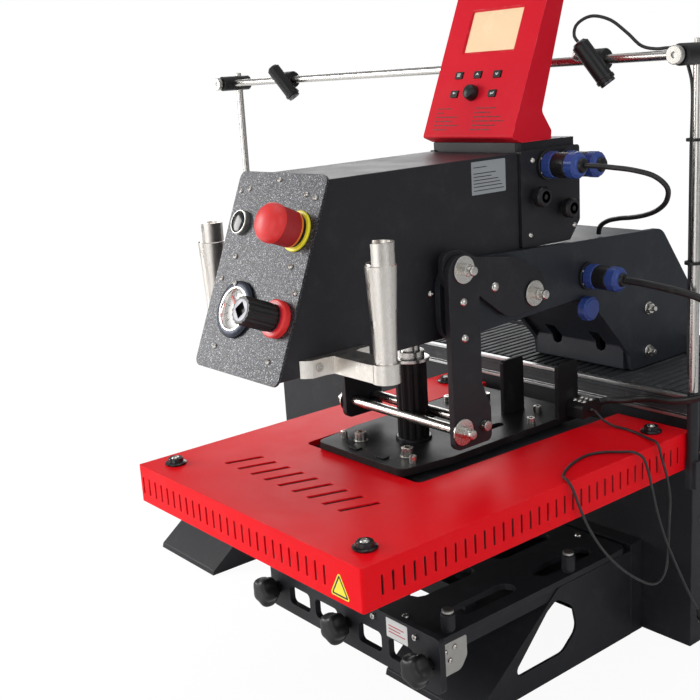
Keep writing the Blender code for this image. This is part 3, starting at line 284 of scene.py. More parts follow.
plastic("print_grey", (0.50, 0.08, 0.09), 0.5, dust=0.02)
plastic("dial_white", (0.78, 0.78, 0.76), 0.45, vary=0.03)
plastic("print_black", (0.012, 0.012, 0.012), 0.4)
plastic("label_silver", (0.30, 0.32, 0.33), 0.34, vary=0.06)
plastic("label_white", (0.66, 0.66, 0.65), 0.42, vary=0.04)
plastic("lcd_peach", (0.88, 0.64, 0.40), 0.24, vary=0.03, coat_weight=0.3, specular=0.3)
MATERIALS["lcd_peach"].node_tree.nodes["Principled BSDF"].inputs["Emission Color"].default_value = (1.0, 0.72, 0.45, 1.0)
MATERIALS["lcd_peach"].node_tree.nodes["Principled BSDF"].inputs["Emission Strength"].default_value = 0.07
metal("satin_aluminium", (0.74, 0.70, 0.65), 0.30, lay=(1.0, 1.0, 0.18), scale=1200.0, stain=0.14, stain_colour=(0.42, 0.38, 0.34))
metal("brushed_aluminium", (0.70, 0.67, 0.63), 0.36, lay=(0.08, 1.0, 1.0), scale=1500.0, stain=0.15)
metal("profile_aluminium", (0.42, 0.42, 0.42), 0.34, lay=(0.04, 1.0, 1.0), scale=1500.0, stain=0.10)
metal("steel", (0.56, 0.545, 0.515), 0.25, lay=(0.05, 1.0, 1.0), scale=700.0, depth=0.000003, strength=0.1, stain=0.16)
metal("post_steel", (0.56, 0.545, 0.515), 0.26, lay=(1.0, 1.0, 0.05), scale=700.0, depth=0.000003, strength=0.1, stain=0.16)
metal("zinc", (0.66, 0.64, 0.60), 0.24, scale=1400.0, depth=0.00002, stain=0.28, stain_colour=(0.34, 0.31, 0.27))
metal("zinc_dull", (0.50, 0.49, 0.46), 0.38, scale=900.0, depth=0.00002, stain=0.35)
metal("bezel_blue", (0.040, 0.044, 0.058), 0.34, scale=900.0, stain=0.08)
metal("polished", (0.80, 0.79, 0.77), 0.10, scale=900.0, stain=0.08)
metal("dark_metal", (0.10, 0.10, 0.11), 0.30, scale=900.0, stain=0.1)


def hammertone():
    """Dark hammer finish: dense fine metal sparkle, a few blue and warm flakes, over a satin metallic base."""
    g = Graph("hammertone")
    flakes = g.cells(760.0)
    small = g.cells(1700.0)
    pick = g.add("ShaderNodeSeparateColor")
    g.link(flakes.outputs["Color"], pick.inputs["Color"])
    pick2 = g.add("ShaderNodeSeparateColor")
    g.link(small.outputs["Color"], pick2.inputs["Color"])
    base = g.mix(g.ramp(g.noise(520.0, 4.0, 0.6), 0.35, 0.7), (0.006, 0.0065, 0.0085), (0.026, 0.027, 0.032))
    base = g.mix(g.ramp(pick2.outputs["Red"], 0.66, 0.96, 0.0, 0.70), base, (0.19, 0.195, 0.215))
    base = g.mix(g.ramp(pick2.outputs["Green"], 0.75, 0.95, 0.0, 0.85), base, (0.008, 0.008, 0.010))
    tint = g.mix(pick.outputs["Green"], (0.30, 0.34, 0.52), (0.46, 0.42, 0.42))
    tint = g.mix(g.ramp(pick.outputs["Blue"], 0.3, 0.5), tint, (0.66, 0.66, 0.67))
    near = g.ramp(flakes.outputs["Distance"], 0.18, 0.40, 1.0, 0.0)
    shown = g.math("MULTIPLY", g.ramp(pick.outputs["Red"], 0.66, 0.84, 0.0, 0.65), near)
    base = g.mix(shown, base, tint)
    g.link(base, g.shader.inputs["Base Color"])
    g.link(g.ramp(g.noise(420.0, 4.0, 0.6), 0.3, 0.7, 0.36, 0.50), g.shader.inputs["Roughness"])
    g.link(g.ramp(shown, 0.0, 0.8, 0.40, 0.85), g.shader.inputs["Metallic"])
    g.shader.inputs["Specular IOR Level"].default_value = 0.3
    g.shader.inputs["Coat Weight"].default_value = 0.05
    g.shader.inputs["Coat Roughness"].default_value = 0.25
    g.bump([(g.noise(900.0, 3.0, 0.5), 0.55, 0.00007), (small.outputs["Distance"], 0.35, 0.00003)])
    MATERIALS["hammertone"] = g.material


hammertone()


def glass():
    g = Graph("glass")
    g.shader.inputs["Transmission Weight"].default_value = 1.0
    g.shader.inputs["IOR"].default_value = 1.45
    g.link(g.ramp(g.noise(60.0, 3.0), 0.3, 0.8, 0.01, 0.06), g.shader.inputs["Roughness"])
    g.link(g.mix(g.noise(30.0), (0.98, 0.98, 0.98), (0.94, 0.95, 0.95)), g.shader.inputs["Base Color"])
    MATERIALS["glass"] = g.material


glass()


def world(p):
    """A point in millimetres from the platen datum, as metres in the model's frame."""
    return Vector(p) * 0.001 + DATUM


def finish_mesh(bm, name, material, origin=None, helper=False, smooth=True):
    at = world(origin) if origin is not None else Vector((0.0, 0.0, 0.0))
    for vert in bm.verts:
        vert.co = world(vert.co) - at
    bmesh.ops.recalc_face_normals(bm, faces=bm.faces)
    data = bpy.data.meshes.new(name)
    bm.to_mesh(data)
    bm.free()
    obj = bpy.data.objects.new(name, data)
    obj.location = at
    scene.collection.objects.link(obj)
    if helper:
        obj.hide_render = True
        obj.display_type = "WIRE"
    else:
        data.materials.append(MATERIALS[material])
    return obj


def add_box(bm, x, y, z):
    made = bmesh.ops.create_cube(bm, size=1.0)["verts"]
    for vert in made:
        vert.co = Vector((
            x[0] + (vert.co.x + 0.5) * (x[1] - x[0]),
            y[0] + (vert.co.y + 0.5) * (y[1] - y[0]),
            z[0] + (vert.co.z + 0.5) * (z[1] - z[0]),
        ))
    return made


def add_prism(bm, outline, start, sweep):
    """A closed outline of 3-D points, moved by start, extruded along sweep."""
    low = [bm.verts.new(Vector(p) + Vector(start)) for p in outline]
    high = [bm.verts.new(Vector(p) + Vector(start) + Vector(sweep)) for p in outline]
    n = len(outline)
    bm.faces.new(low)
    bm.faces.new(list(reversed(high)))
    for i in range(n):
        bm.faces.new((low[i], high[i], high[(i + 1) % n], low[(i + 1) % n]))


def rounded(points, radius, steps=4):
    """A 2-D outline with its corners rounded; radius is one number or one per corner."""
    steps = max(2, round(steps * ROUNDNESS))
    out = []
    n = len(points)
    for i in range(n):
        r = radius[i] if isinstance(radius, (list, tuple)) else radius
        p = Vector(points[i])
        if r <= 0:
            out.append(p)
            continue
        a = (Vector(points[i - 1]) - p)
        b = (Vector(points[(i + 1) % n]) - p)
        half = a.angle(b) / 2
        reach = min(r / math.tan(half), a.length * 0.49, b.length * 0.49)
        r = reach * math.tan(half)
        start, end = p + a.normalized() * reach, p + b.normalized() * reach
        centre = p + (a.normalized() + b.normalized()).normalized() * (r / math.sin(half))
        v0, v1 = start - centre, end - centre
        turn = v0.angle(v1)
        sign = 1.0 if v0.x * v1.y - v0.y * v1.x > 0 else -1.0
        for k in range(steps + 1):
            t = sign * turn * k / steps
            out.append(centre + Vector((v0.x * math.cos(t) - v0.y * math.sin(t),
                                        v0.x * math.sin(t) + v0.y * math.cos(t))))
    return out


def oblong(cx, cy, length, width, along_x=True, steps=2):
    """A slot outline with round ends."""
    out = []
    r = width / 2
    reach = length / 2 - r
    for side in (1, -1):
        for k in range(steps * 2 + 1):
            t = math.pi * (k / (steps * 2) - 0.5)
            p = (side * (reach + r * math.cos(t)), side * r * math.sin(t))
            out.append(Vector((cx + p[0], cy + p[1])) if along_x else Vector((cx - p[1], cy + p[0])))
    return out


def yz(points, x=0.0):
    return [(x, p[0], p[1]) for p in points]


def xz(points, y=0.0):
    return [(p[0], y, p[1]) for p in points]


def xy(points, z=0.0):
    return [(p[0], p[1], z) for p in points]


def add_turned(bm, profile, base, axis, sides=24, start=0.0):
    """A solid of revolution: profile is (distance along the axis, radius), closed on the axis at both ends."""
    sides = max(10, round(sides * ROUNDNESS))
    axis = Vector(axis).normalized()
    side = axis.orthogonal().normalized()
    other = axis.cross(side)
    rings = []
    for along, r in profile:
        centre = Vector(base) + axis * along
        if r <= 1e-6:
            rings.append([bm.verts.new(centre)])
        else:
            rings.append([
                bm.verts.new(centre + (side * math.cos(t) + other * math.sin(t)) * r)
                for t in (start + 2 * math.pi * k / sides for k in range(sides))
            ])
    for a, b in zip(rings, rings[1:]):
        for k in range(sides):
            j = (k + 1) % sides
            if len(a) == 1 and len(b) == 1:
                continue
            if len(a) == 1:
                bm.faces.new((a[0], b[k], b[j]))
            elif len(b) == 1:
                bm.faces.new((a[k], a[j], b[0]))
            else:
                bm.faces.new((a[k], a[j], b[j], b[k]))
    for ring, flip in ((rings[0], True), (rings[-1], False)):
        if len(ring) > 1:
            bm.faces.new(list(reversed(ring)) if flip else ring)


def add_star(bm, base, axis, length, lobes, r_out, r_in, steps=6, taper=1.0):
    """A grip with round lobes, extruded along its axis."""
    axis = Vector(axis).normalized()
    side = axis.orthogonal().normalized()
    other = axis.cross(side)
    count = lobes * steps
    rings = []
    for along, share in ((0.0, 0.90), (length * 0.14, 1.0), (length * 0.86, 1.0 * taper), (length, 0.88 * taper)):
        ring = []
        for k in range(count):
            t = 2 * math.pi * k / count
            r = (r_in + (r_out - r_in) * (0.5 + 0.5 * math.cos(lobes * t)) ** 0.8) * share
            ring.append(bm.verts.new(Vector(base) + axis * along + (side * math.cos(t) + other * math.sin(t)) * r))
        rings.append(ring)
    for a, b in zip(rings, rings[1:]):
        for k in range(count):
            j = (k + 1) % count
            bm.faces.new((a[k], a[j], b[j], b[k]))
    bm.faces.new(list(reversed(rings[0])))
    bm.faces.new(rings[-1])


SLOT_OF = {"arm_coat": "dark_coat", "controller_red": "red_coat", "post_steel": "steel", "profile_aluminium": "satin_aluminium",
           "brushed_aluminium": "satin_aluminium"}
MADE = {}


def rounded_edges(obj, width, segments=2, angle=38.0):
    bevel = obj.modifiers.new("edges", "BEVEL")
    bevel.width = width * 0.001
    bevel.segments = segments
    bevel.limit_method = "ANGLE"
    bevel.angle_limit = math.radians(angle)
    bevel.miter_outer = "MITER_ARC"
    bevel.harden_normals = False


def settle(obj):
    """Applies an object's modifiers, and shades it smooth with its edges kept."""
    bpy.context.view_layer.update()
    graph = bpy.context.evaluated_depsgraph_get()
    done = bpy.data.meshes.new_from_object(obj.evaluated_get(graph), depsgraph=graph)
    old = obj.data
    obj.modifiers.clear()
    obj.data = done
    bpy.data.meshes.remove(old)
    done.name = obj.name
    done.shade_smooth()
    done.set_sharp_from_angle(angle=math.radians(34))
    weighted = obj.modifiers.new("weighted normals", "WEIGHTED_NORMAL")
    weighted.keep_sharp = True
    weighted.weight = 60


def boolean(obj, helper, how):
    mod = obj.modifiers.new(how.title(), "BOOLEAN")
    mod.operation = how
    mod.solver = "EXACT"
    mod.object = helper


def cutter(name, build):
    bm = bmesh.new()
    build(bm)
    return finish_mesh(bm, name, None, helper=True)


def piece(name, material, build, body, cuts=(), joins=(), origin=None, edge=0.0, segments=2, replaces=(), angle=38.0):
    """One finished piece: built, cut, joined, its edges rounded by edge millimetres, riding on a body."""
    bm = bmesh.new()
    build(bm)
    obj = finish_mesh(bm, name, material, origin)
    helpers = []
    for how, builds in (("UNION", joins), ("DIFFERENCE", cuts)):
        for k, one in enumerate(builds):
            helpers.append(cutter(f"{name}_{how.lower()}_{k}", one))
            boolean(obj, helpers[-1], how)
    if helpers:
        weld = obj.modifiers.new("weld", "WELD")
        weld.merge_threshold = 0.000002
    if edge:
        rounded_edges(obj, edge, segments, angle)
    settle(obj)
    for helper in helpers:
        data = helper.data
        bpy.data.objects.remove(helper, do_unlink=True)
        bpy.data.meshes.remove(data)
    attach(obj, body)
    if replaces:
        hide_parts(*replaces)
    MADE[name] = obj
    return obj


EDGE = {
    "cabinet_housing": 1.2, "cabinet_back_panel": 0.6, "ribbed_top_mat": 0.0, "front_guide_profile": 0.35, "linear_rail": 0.5,
    "foot_right": 0.8, "foot_left": 0.8, "front_cross_plate": 0.8, "carrier_frame": 0.7, "carrier_front_bar": 0.7,
    "star_knob_left": 0.9, "star_knob_middle": 0.9, "star_knob_right": 0.9, "gantry_crossbar": 0.0, "gantry_post_left": 0.5,
    "gantry_post_right": 0.5, "laser_holder_left": 0.3, "laser_holder_right": 0.3, "arm_plate_right": 0.8, "arm_plate_left": 0.8,
    "arm_column": 0.8, "head_housing": 1.3, "front_panel": 0.5, "start_button_bezel": 0.3, "start_button": 0.3, "estop_body": 0.3,
    "estop_button": 0.7, "gauge_body": 0.3, "gauge_needle": 0.0, "regulator_body": 0.4, "regulator_knob": 0.3, "air_cylinder": 0.6,
    "controller_housing": 1.6, "button_menu": 0.4, "button_up": 0.4, "button_down": 0.4, "button_back": 0.4, "button_enter": 0.4,
    "encoder_knob": 0.4, "rear_bracket": 0.8, "power_connector": 0.35, "signal_connector": 0.35, "handle_right": 0.6, "handle_left": 0.6,
    "platen_cover": 0.45, "heater_block": 0.8, "mounting_plate": 0.8, "heater_terminal_block": 0.5, "upright_right": 0.9,
    "upright_left": 0.9, "cross_rod_front": 0.3, "cross_rod_rear": 0.3, "press_post": 0.4, "piston_rod": 0.4, "link_right": 0.9,
    "link_left": 0.9, "sensor_plug": 0.3,
}
LOOKS = {"controller_housing": "controller_red", "arm_plate_right": "arm_coat", "arm_plate_left": "arm_coat", "arm_column": "arm_coat",
         "rear_bracket": "dark_coat", "front_guide_profile": "profile_aluminium", "gantry_post_left": "post_steel",
         "gantry_post_right": "post_steel", "gauge_body": "bezel_blue", "handle_right": "satin_aluminium", "handle_left": "satin_aluminium"}


def solid(name, material, build, cuts=(), joins=(), origin=None):
    """A finished piece that stands for the CAD node of the same name."""
    look = LOOKS.get(name, material)
    if name.startswith(("upright_", "arm_plate_")):
        joins = []                      # the pins are separate plated pieces below
    elif name.startswith("gantry_post_"):
        joins = joins[:2]               # the clamp and its thumb screw are separate pieces below
    elif name == "start_button_bezel":
        cuts = list(cuts) + [lambda bm: add_turned(bm, [(0.6, 11.7), (20, 11.7)], panel_point(*START_UV), PANEL_OUT, 28)]
    return piece(f"{name}_skin", look, build, BODY_OF[name], cuts, joins, origin, EDGE.get(name, 0.4), replaces=(name,))


def panel_point(u, v, n=0.0):
    """u to the right, v up the head's front panel from its lower edge, n out of it."""
    return PANEL_FOOT + Vector((u, 0, 0)) + PANEL_UP * v + PANEL_OUT * n


def ctrl_point(u, v, n=0.0):
    return CTRL_FOOT + Vector((u, 0, 0)) + CTRL_UP * v + CTRL_OUT * n


def on_plane(place, outline, depth):
    """Outline points (u, v) on a sloped face, from n = depth[0] to n = depth[1]."""
    def build(bm):
        low = [place(p[0], p[1], depth[0]) for p in outline]
        step = place(0, 0, depth[1]) - place(0, 0, depth[0])
        add_prism(bm, low, (0, 0, 0), step)
    return build


def rect(u0, u1, v0, v1, r=0.0, steps=4):
    points = [(u0, v0), (u1, v0), (u1, v1), (u0, v1)]
    return rounded(points, r, steps) if r else [Vector(p) for p in points]


# ================================================================ cabinet
solid(
    "cabinet_housing", "dark_coat",
    lambda bm: add_box(bm, CABINET_X, CABINET_Y, (FLOOR_Z, CABINET_TOP)),
    cuts=[
        lambda bm: add_box(bm, (CABINET_X[0] + SHEET, CABINET_X[1] - SHEET), (CABINET_Y[0] + SHEET, CABINET_Y[1] + 5),
                           (FLOOR_Z + SHEET, CABINET_TOP - SHEET)),
        # running slot for the carriage keel, along the top
        lambda bm: add_box(bm, (CABINET_X[0] + 62, CABINET_X[1] - 62), (703.0, 721.0), (0.0, 60.0)),
    ],
)
solid(
    "cabinet_back_panel", "dark_coat",
    lambda bm: add_box(bm, (CABINET_X[0] + SHEET + GAP, CABINET_X[1] - SHEET - GAP), (804.0, 807.0),
                       (FLOOR_Z + SHEET + GAP, CABINET_TOP - SHEET - GAP)),
    joins=[lambda bm: add_box(bm, (-520.0, -368.0), (770.0, 805.0), (FLOOR_Z + SHEET + GAP, -250.0))],
    cuts=[lambda bm: [add_box(bm, (-700.0 + 40 * k, -688.0 + 40 * k), (795.0, 815.0), (-110.0, -50.0))
                      for k in range(13)]],
)


def ribbed(bm):
    """Ribbed mat on the cabinet top: a strip in front of the running slot and one behind it."""
    points = [(CABINET_X[0] + 1, 0.0)]
    x = CABINET_X[0] + 1
    while x + RIB_PITCH < CABINET_X[1] - 1:
        points += [(x, 3.6), (x + 0.6, 5.2), (x + 1.6, 5.7), (x + RIB_PITCH - 5.2, 5.7), (x + RIB_PITCH - 4.2, 5.2),
                   (x + RIB_PITCH - 3.6, 3.6)]
        x += RIB_PITCH
    points += [(x, 5.7), (CABINET_X[1] - 1, 5.7), (CABINET_X[1] - 1, 0.0)]
    outline = [(p[0], 0.0, p[1] + CABINET_TOP + GAP) for p in points]
    add_prism(bm, outline, (0, 546.0, 0), (0, 259.0, 0))


solid(
    "ribbed_top_mat", "rubber", ribbed,
    cuts=[lambda bm: add_box(bm, (CABINET_X[0] + 62, CABINET_X[1] - 62), (703.0, 721.0), (0.0, 60.0))],
)


def profile_outline():
    """Front guide extrusion: two bright lips with a recess between them."""
    return [(539.7, 8.0), (539.7, 37.4), (532.6, 37.4), (532.6, 33.6), (536.2, 32.6), (536.2, 12.6), (532.6, 11.6),
            (532.6, 8.0)]


solid("front_guide_profile", "satin_aluminium",
      lambda bm: add_prism(bm, yz(profile_outline()), (CABINET_X[0], 0, 0), (CABINET_X[1] - CABINET_X[0], 0, 0)))
# ================================================================ feet and cross plate
FOOT_X = {"right": (-240.0, -83.0), "left": (-805.0, -648.0)}


def foot_outline(inset=0.0):
    i = inset
    return rounded([(219 + 2.1 * i, FLOOR_Z - (0.0 if not i else 6.0)), (514.7 + (0 if not i else 8.0), FLOOR_Z - (0.0 if not i else 6.0)),
                    (514.7 + (0 if not i else 8.0), -181.5 - i), (372 + 0.4 * i, -181.5 - i),
                    (221 + 2.1 * i, -294.0 - i)], [0, 0, 0, 16, 3], 4)


for side, xs in FOOT_X.items():
    solid(
        f"foot_{side}", "dark_coat",
        lambda bm, xs=xs: add_prism(bm, yz(foot_outline()), (xs[0], 0, 0), (xs[1] - xs[0], 0, 0)),
        cuts=[
            lambda bm, xs=xs: add_prism(bm, yz(foot_outline(4.0)), (xs[0] + 4, 0, 0), (xs[1] - xs[0] - 8, 0, 0)),
            lambda bm, xs=xs: add_prism(
                bm, yz(rounded([(283, -272), (378, -272), (406, -250), (398, -216), (368, -196), (350, -206)],
                               [8, 20, 18, 14, 10, 14], 4)), (xs[0] - 20, 0, 0), (220, 0, 0)),
        ],
    )
solid("front_cross_plate", "dark_coat",
      lambda bm: add_box(bm, (-805.0, -83.0), (515.0, 539.7), (FLOOR_Z, -173.0)),
      cuts=[lambda bm: [add_box(bm, (-640.0, -250.0), (505.0, 534.0), (-290.0, -188.0))]])

# ================================================================ lower carrier
CARRIER_X = (-383.0, -78.0)


def carrier_cuts(bm):
    for x in (-345.0, -275.0, -181.0, -111.0):
        for y in (268.0, 410.0):
            add_prism(bm, xy(oblong(x, y, 104.0, 26.0, along_x=False)), (0, 0, -200), (0, 0, 60))
    add_prism(bm, xy(oblong(-228.0, 338.0, 150.0, 34.0, along_x=False)), (0, 0, -200), (0, 0, 60))


solid(
    "carrier_frame", "dark_coat",
    lambda bm: add_prism(bm, xy(rect(CARRIER_X[0], CARRIER_X[1], 163.0, 500.0, 12.0)), (0, 0, -177.0), (0, 0, 8.0)),
    joins=[
        lambda bm: add_box(bm, (-236.0, -221.0), (310.0, 505.0), (-181.0, -176.0)),
        lambda bm: add_turned(bm, [(0, 7), (9, 7), (10, 8.5), (28.5, 8.5), (30, 7)], (-88.0, 189.0, -177.0), (0, 0, 1), 14),
        lambda bm: add_turned(bm, [(0, 7), (9, 7), (10, 8.5), (28.5, 8.5), (30, 7)], (-88.0, 396.0, -177.0), (0, 0, 1), 14),
        lambda bm: add_turned(bm, [(0, 7), (9, 7), (10, 8.5), (28.5, 8.5), (30, 7)], (-373.0, 189.0, -177.0), (0, 0, 1), 14),
        lambda bm: add_turned(bm, [(0, 7), (9, 7), (10, 8.5), (28.5, 8.5), (30, 7)], (-373.0, 396.0, -177.0), (0, 0, 1), 14),
    ],
    cuts=[carrier_cuts],
)


def bar_windows(bm):
    for u0, u1 in ((-345.0, -303.0), (-291.0, -247.0), (-207.0, -165.0), (-152.0, -110.0)):
        add_prism(bm, xz(rect(u0, u1, -214.0, -189.0, 6.0)), (0, 130, 0), (0, 60, 0))
    for x, z in zip(KNOB_X, KNOB_Z):
        add_turned(bm, [(0, 5.3), (60, 5.3)], (x, 130, z), (0, 1, 0), 16)


solid(
    "carrier_front_bar", "dark_coat",
    lambda bm: add_prism(bm, xz(rounded([(-386, -229), (-66, -229), (-66, -160), (-386, -160)], [8, 8, 6, 6], 4)),
                         (0, 154.0, 0), (0, 8.6, 0)),
    cuts=[bar_windows],
)
# ================================================================ laser gantry
solid("gantry_crossbar", "steel",
      lambda bm: add_turned(bm, [(0, ROD_R - 0.8), (0.8, ROD_R), (963.2, ROD_R), (964, ROD_R - 0.8)],
                            (-948.0, ROD_Y, ROD_Z), (1, 0, 0), 18))
for side, x in zip(("left", "right"), POST_X):
    inner = -1 if side == "right" else 1
    face = CABINET_X[1] if side == "right" else CABINET_X[0]
    end = x - inner * 9.0
    solid(f"gantry_post_{side}", "steel",
          lambda bm, x=x: add_turned(bm, [(0, 5.5), (512.0, 5.5)], (x, 513.5, -70.0), (0, 0, 1), 18),
          joins=[lambda bm, a=min(face - inner * GAP, end), b=max(face - inner * GAP, end):
                 add_box(bm, (a, b), (545.0, 604.0), (-68.0, -34.0)),
                 lambda bm, x=x: add_box(bm, (x - 6.0, x + 9.0), (508.0, 560.0), (-68.0, -34.0)),
                 lambda bm, x=x: add_turned(bm, [(0, 10.0), (1.5, 11.5), (54.5, 11.5), (56, 10.0)], (x, 477.0, 440.0), (0, 1, 0), 18),
                 lambda bm, x=x: add_turned(bm, [(0, 4), (7, 4), (7.5, 8.5), (13.5, 8.5), (14, 7.5)], (x, 480.0, 440.0), (0, -1, 0), 16)],
          cuts=[lambda bm: add_turned(bm, [(0, ROD_R + GAP), (1100, ROD_R + GAP)], (-1000, ROD_Y, ROD_Z), (1, 0, 0), 18)])
LASER_X = {"left": -734.0, "right": -117.0}
LASER_AIM = Vector((0.45, 0.35, -0.82)).normalized()
THUMB_AIM = Vector((-0.50, -0.72, 0.48)).normalized()
for side, x in LASER_X.items():
    def barrel(bm, x=x):
        add_turned(bm, [(0, 12.0), (1.5, 13.0), (20.5, 13.0), (22, 12.0)], (x - 12, ROD_Y, ROD_Z), (1, 0, 0), 20)
    solid(f"laser_holder_{side}", "black_plastic", barrel, origin=(x, ROD_Y, ROD_Z),
          joins=[lambda bm, x=x: add_turned(bm, [(-27, 8.0), (-25, 10.5), (22, 10.5), (23, 11.5), (27, 11.5), (28, 10.0)],
                                            (x + 3.0, ROD_Y - 17.0, ROD_Z - 2.0), LASER_AIM, 20),
                 lambda bm, x=x: add_turned(bm, [(4, 4.0), (16, 4.0), (17, 9.0), (24, 9.0), (25, 8.0)],
                                            (x - 9.0, ROD_Y, ROD_Z), THUMB_AIM, 16)],
          cuts=[lambda bm: add_turned(bm, [(0, ROD_R + GAP), (1100, ROD_R + GAP)], (-1000, ROD_Y, ROD_Z), (1, 0, 0), 18)])

# ================================================================ head carriage: arm
ARM_PROFILE = [(240, 143), (480, 155), (512, 134), (578.5, 62), (582, 39), (725.6, 39), (721, 124), (648, 220),
               (490, 226), (240, 235)]
ARM_ROUND = [24, 30, 14, 16, 3, 4, 10, 24, 20, 30]


def arm_side(sign):
    x0 = HEAD_CX + sign * (ARM_OUT - (ARM_T if sign > 0 else 0.0)) if sign > 0 else HEAD_CX - ARM_OUT
    x0 = HEAD_CX + ARM_OUT - ARM_T if sign > 0 else HEAD_CX - ARM_OUT
    return lambda bm: add_prism(bm, yz(rounded(ARM_PROFILE, ARM_ROUND, 5)), (x0, 0, 0), (ARM_T, 0, 0))


def pivot_hole(bm):
    add_turned(bm, [(0, 8.9), (400, 8.9)], (HEAD_CX - 200, *ARM_PIVOT), (1, 0, 0), 20)


for side, sign in (("right", 1), ("left", -1)):
    base = HEAD_CX + sign * (ARM_OUT - ARM_T + 1.0)
    solid(f"arm_plate_{side}", "dark_coat", arm_side(sign),
          joins=[lambda bm, base=base, sign=sign: add_turned(
              bm, [(0, 8.0), (16.3, 8.0), (16.3, 14.0), (19.0, 14.0), (19.0, 9.2), (25.0, 9.2), (26.0, 8.0), (26.0, 4.6),
                   (30.0, 4.6), (31.0, 3.6)], (base, *ARM_PIVOT), (sign, 0, 0), 18)])


def arm_core(bm):
    """Inner box of the arm: the block between the side plates, down to the base over the cabinet."""
    outline = rounded([(384.5, 150), (478, 157), (515, 137), (576, 72), (576, 40), (722, 40), (718, 122), (646, 216.5),
                       (492, 222.5), (384.5, 226)], [3, 20, 10, 6, 2, 3, 8, 16, 12, 3], 4)
    add_prism(bm, yz(outline), (HEAD_CX - ARM_OUT + ARM_T + GAP, 0, 0), (2 * (ARM_OUT - ARM_T - GAP), 0, 0))


def core_slots(bm):
    for x in (-253.0, -178.0):
        add_prism(bm, xz(oblong(x, 98.0, 76.0, 16.0, along_x=False)), (0, 560, 0), (0, 60, 0))


solid(
    "arm_column", "dark_coat", arm_core,
    joins=[lambda bm: add_box(bm, (HEAD_CX - 70, HEAD_CX + 70), (706.0, 718.0), (-14.0, 60.0)),
           lambda bm: add_box(bm, (HEAD_CX - 70, HEAD_CX + 70), (694.0, 730.0), (-31.0, -12.0)),
           lambda bm: add_prism(bm, yz([(694.0, -14.0), (694.0, -58.0), (699.0, -58.0), (699.0, -33.7), (725.0, -33.7),
                                        (725.0, -58.0), (730.0, -58.0), (730.0, -14.0)]), (HEAD_CX - 70, 0, 0), (140, 0, 0))],
    cuts=[core_slots,
          lambda bm: add_prism(bm, yz([(584, 48), (716, 48), (711, 118), (640, 208), (592, 212), (592, 150)]),
                               (HEAD_CX - 66, 0, 0), (132, 0, 0)),
          lambda bm: add_box(bm, (HEAD_CX - 50, HEAD_CX + 50), (600.0, 690.0), (30.0, 60.0))],
)

# ================================================================ head
def head_outline(inset=0.0):
    """The head's side view; with an inset it is the hollow, carried out level through the open front."""
    i = inset
    foot, top = panel_point(0, 3.6, -PANEL_T - GAP), panel_point(0, 214.2, -PANEL_T - GAP)
    if not i:
        return [(foot.y, foot.z), (383.0, HEAD_BOTTOM), (383.0, HEAD_TOP), (top.y, top.z)]
    return [(foot.y - 20.0, foot.z + i), (383.0 - i, HEAD_BOTTOM + i), (383.0 - i, HEAD_TOP - i), (top.y, top.z - i),
            (foot.y - 20.0, top.z - i)]


solid(
    "head_housing", "dark_coat",
    lambda bm: add_prism(bm, yz(rounded(head_outline(), [0, 4, 5, 0], 3)), (HEAD_CX - HEAD_HALF, 0, 0), (2 * HEAD_HALF, 0, 0)),
    cuts=[
        lambda bm: add_prism(bm, yz(head_outline(3.0)), (HEAD_CX - HEAD_HALF + 3, 0, 0), (2 * HEAD_HALF - 6, 0, 0)),
        lambda bm: add_turned(bm, [(0, 16.0), (30, 16.0)], (-217.0, 267.0, 130.0), (0, 0, 1), 24),
        lambda bm: [add_box(bm, (HEAD_CX - 58, HEAD_CX + 58), (375, 390), (160, 330))],
    ],
)


def panel_hole(u, v, r):
    return lambda bm: add_turned(bm, [(0, r), (30, r)], panel_point(u, v, -18), PANEL_OUT, 28)


START_UV, ESTOP_UV, GAUGE_UV, REG_UV = (-52.0, 161.0), (49.0, 158.5), (-22.4, 67.9), (54.0, 67.0)
solid(
    "front_panel", "hammertone",
    on_plane(panel_point, rounded([(-PANEL_W / 2, 0), (PANEL_W / 2, 0), (PANEL_W / 2, PANEL_L), (-PANEL_W / 2, PANEL_L)],
                                  9.0, 5), (-PANEL_T, 0.0)),
    cuts=[panel_hole(*START_UV, 9.8), panel_hole(*ESTOP_UV, 13.0), panel_hole(*GAUGE_UV, 27.2), panel_hole(*REG_UV, 15.0)],
)
solid(
    "start_button_bezel", "steel",
    lambda bm: add_turned(bm, [(-14, 9.0), (0.3, 9.0), (0.3, 13.0), (3.4, 13.0), (4.6, 11.6)], panel_point(*START_UV), PANEL_OUT, 28),
    cuts=[lambda bm: add_turned(bm, [(-20, 7.4), (20, 7.4)], panel_point(*START_UV), PANEL_OUT, 28)],
)
solid("start_button", "black_plastic",
      lambda bm: add_turned(bm, [(-12, 5.0), (-9.5, 5.0), (-9.5, 7.0), (3.6, 7.0), (4.4, 6.0)], panel_point(*START_UV), PANEL_OUT, 26),
      origin=panel_point(*START_UV))
solid(
    "estop_body", "signal_yellow",
    lambda bm: add_turned(bm, [(-40, 12.0), (GAP, 12.0), (GAP, 21.5), (2.2, 21.5), (2.8, 20.8), (2.8, 14.5), (4.2, 13.5)],
                          panel_point(*ESTOP_UV), PANEL_OUT, 30),
    cuts=[lambda bm: add_turned(bm, [(-12, 8.6), (30, 8.6)], panel_point(*ESTOP_UV), PANEL_OUT, 24)],
)
solid("estop_button", "estop_red",
      lambda bm: add_turned(bm, [(-5, 8.0), (8.6, 8.0), (8.6, 18.0), (10.0, 18.6), (29.0, 19.2), (30.0, 20.6), (35.0, 20.6),
                                 (39.0, 19.4), (42.6, 16.2), (45.0, 11.0), (46.2, 5.0), (46.4, 0.0)], panel_point(*ESTOP_UV), PANEL_OUT, 30),
      origin=panel_point(*ESTOP_UV))
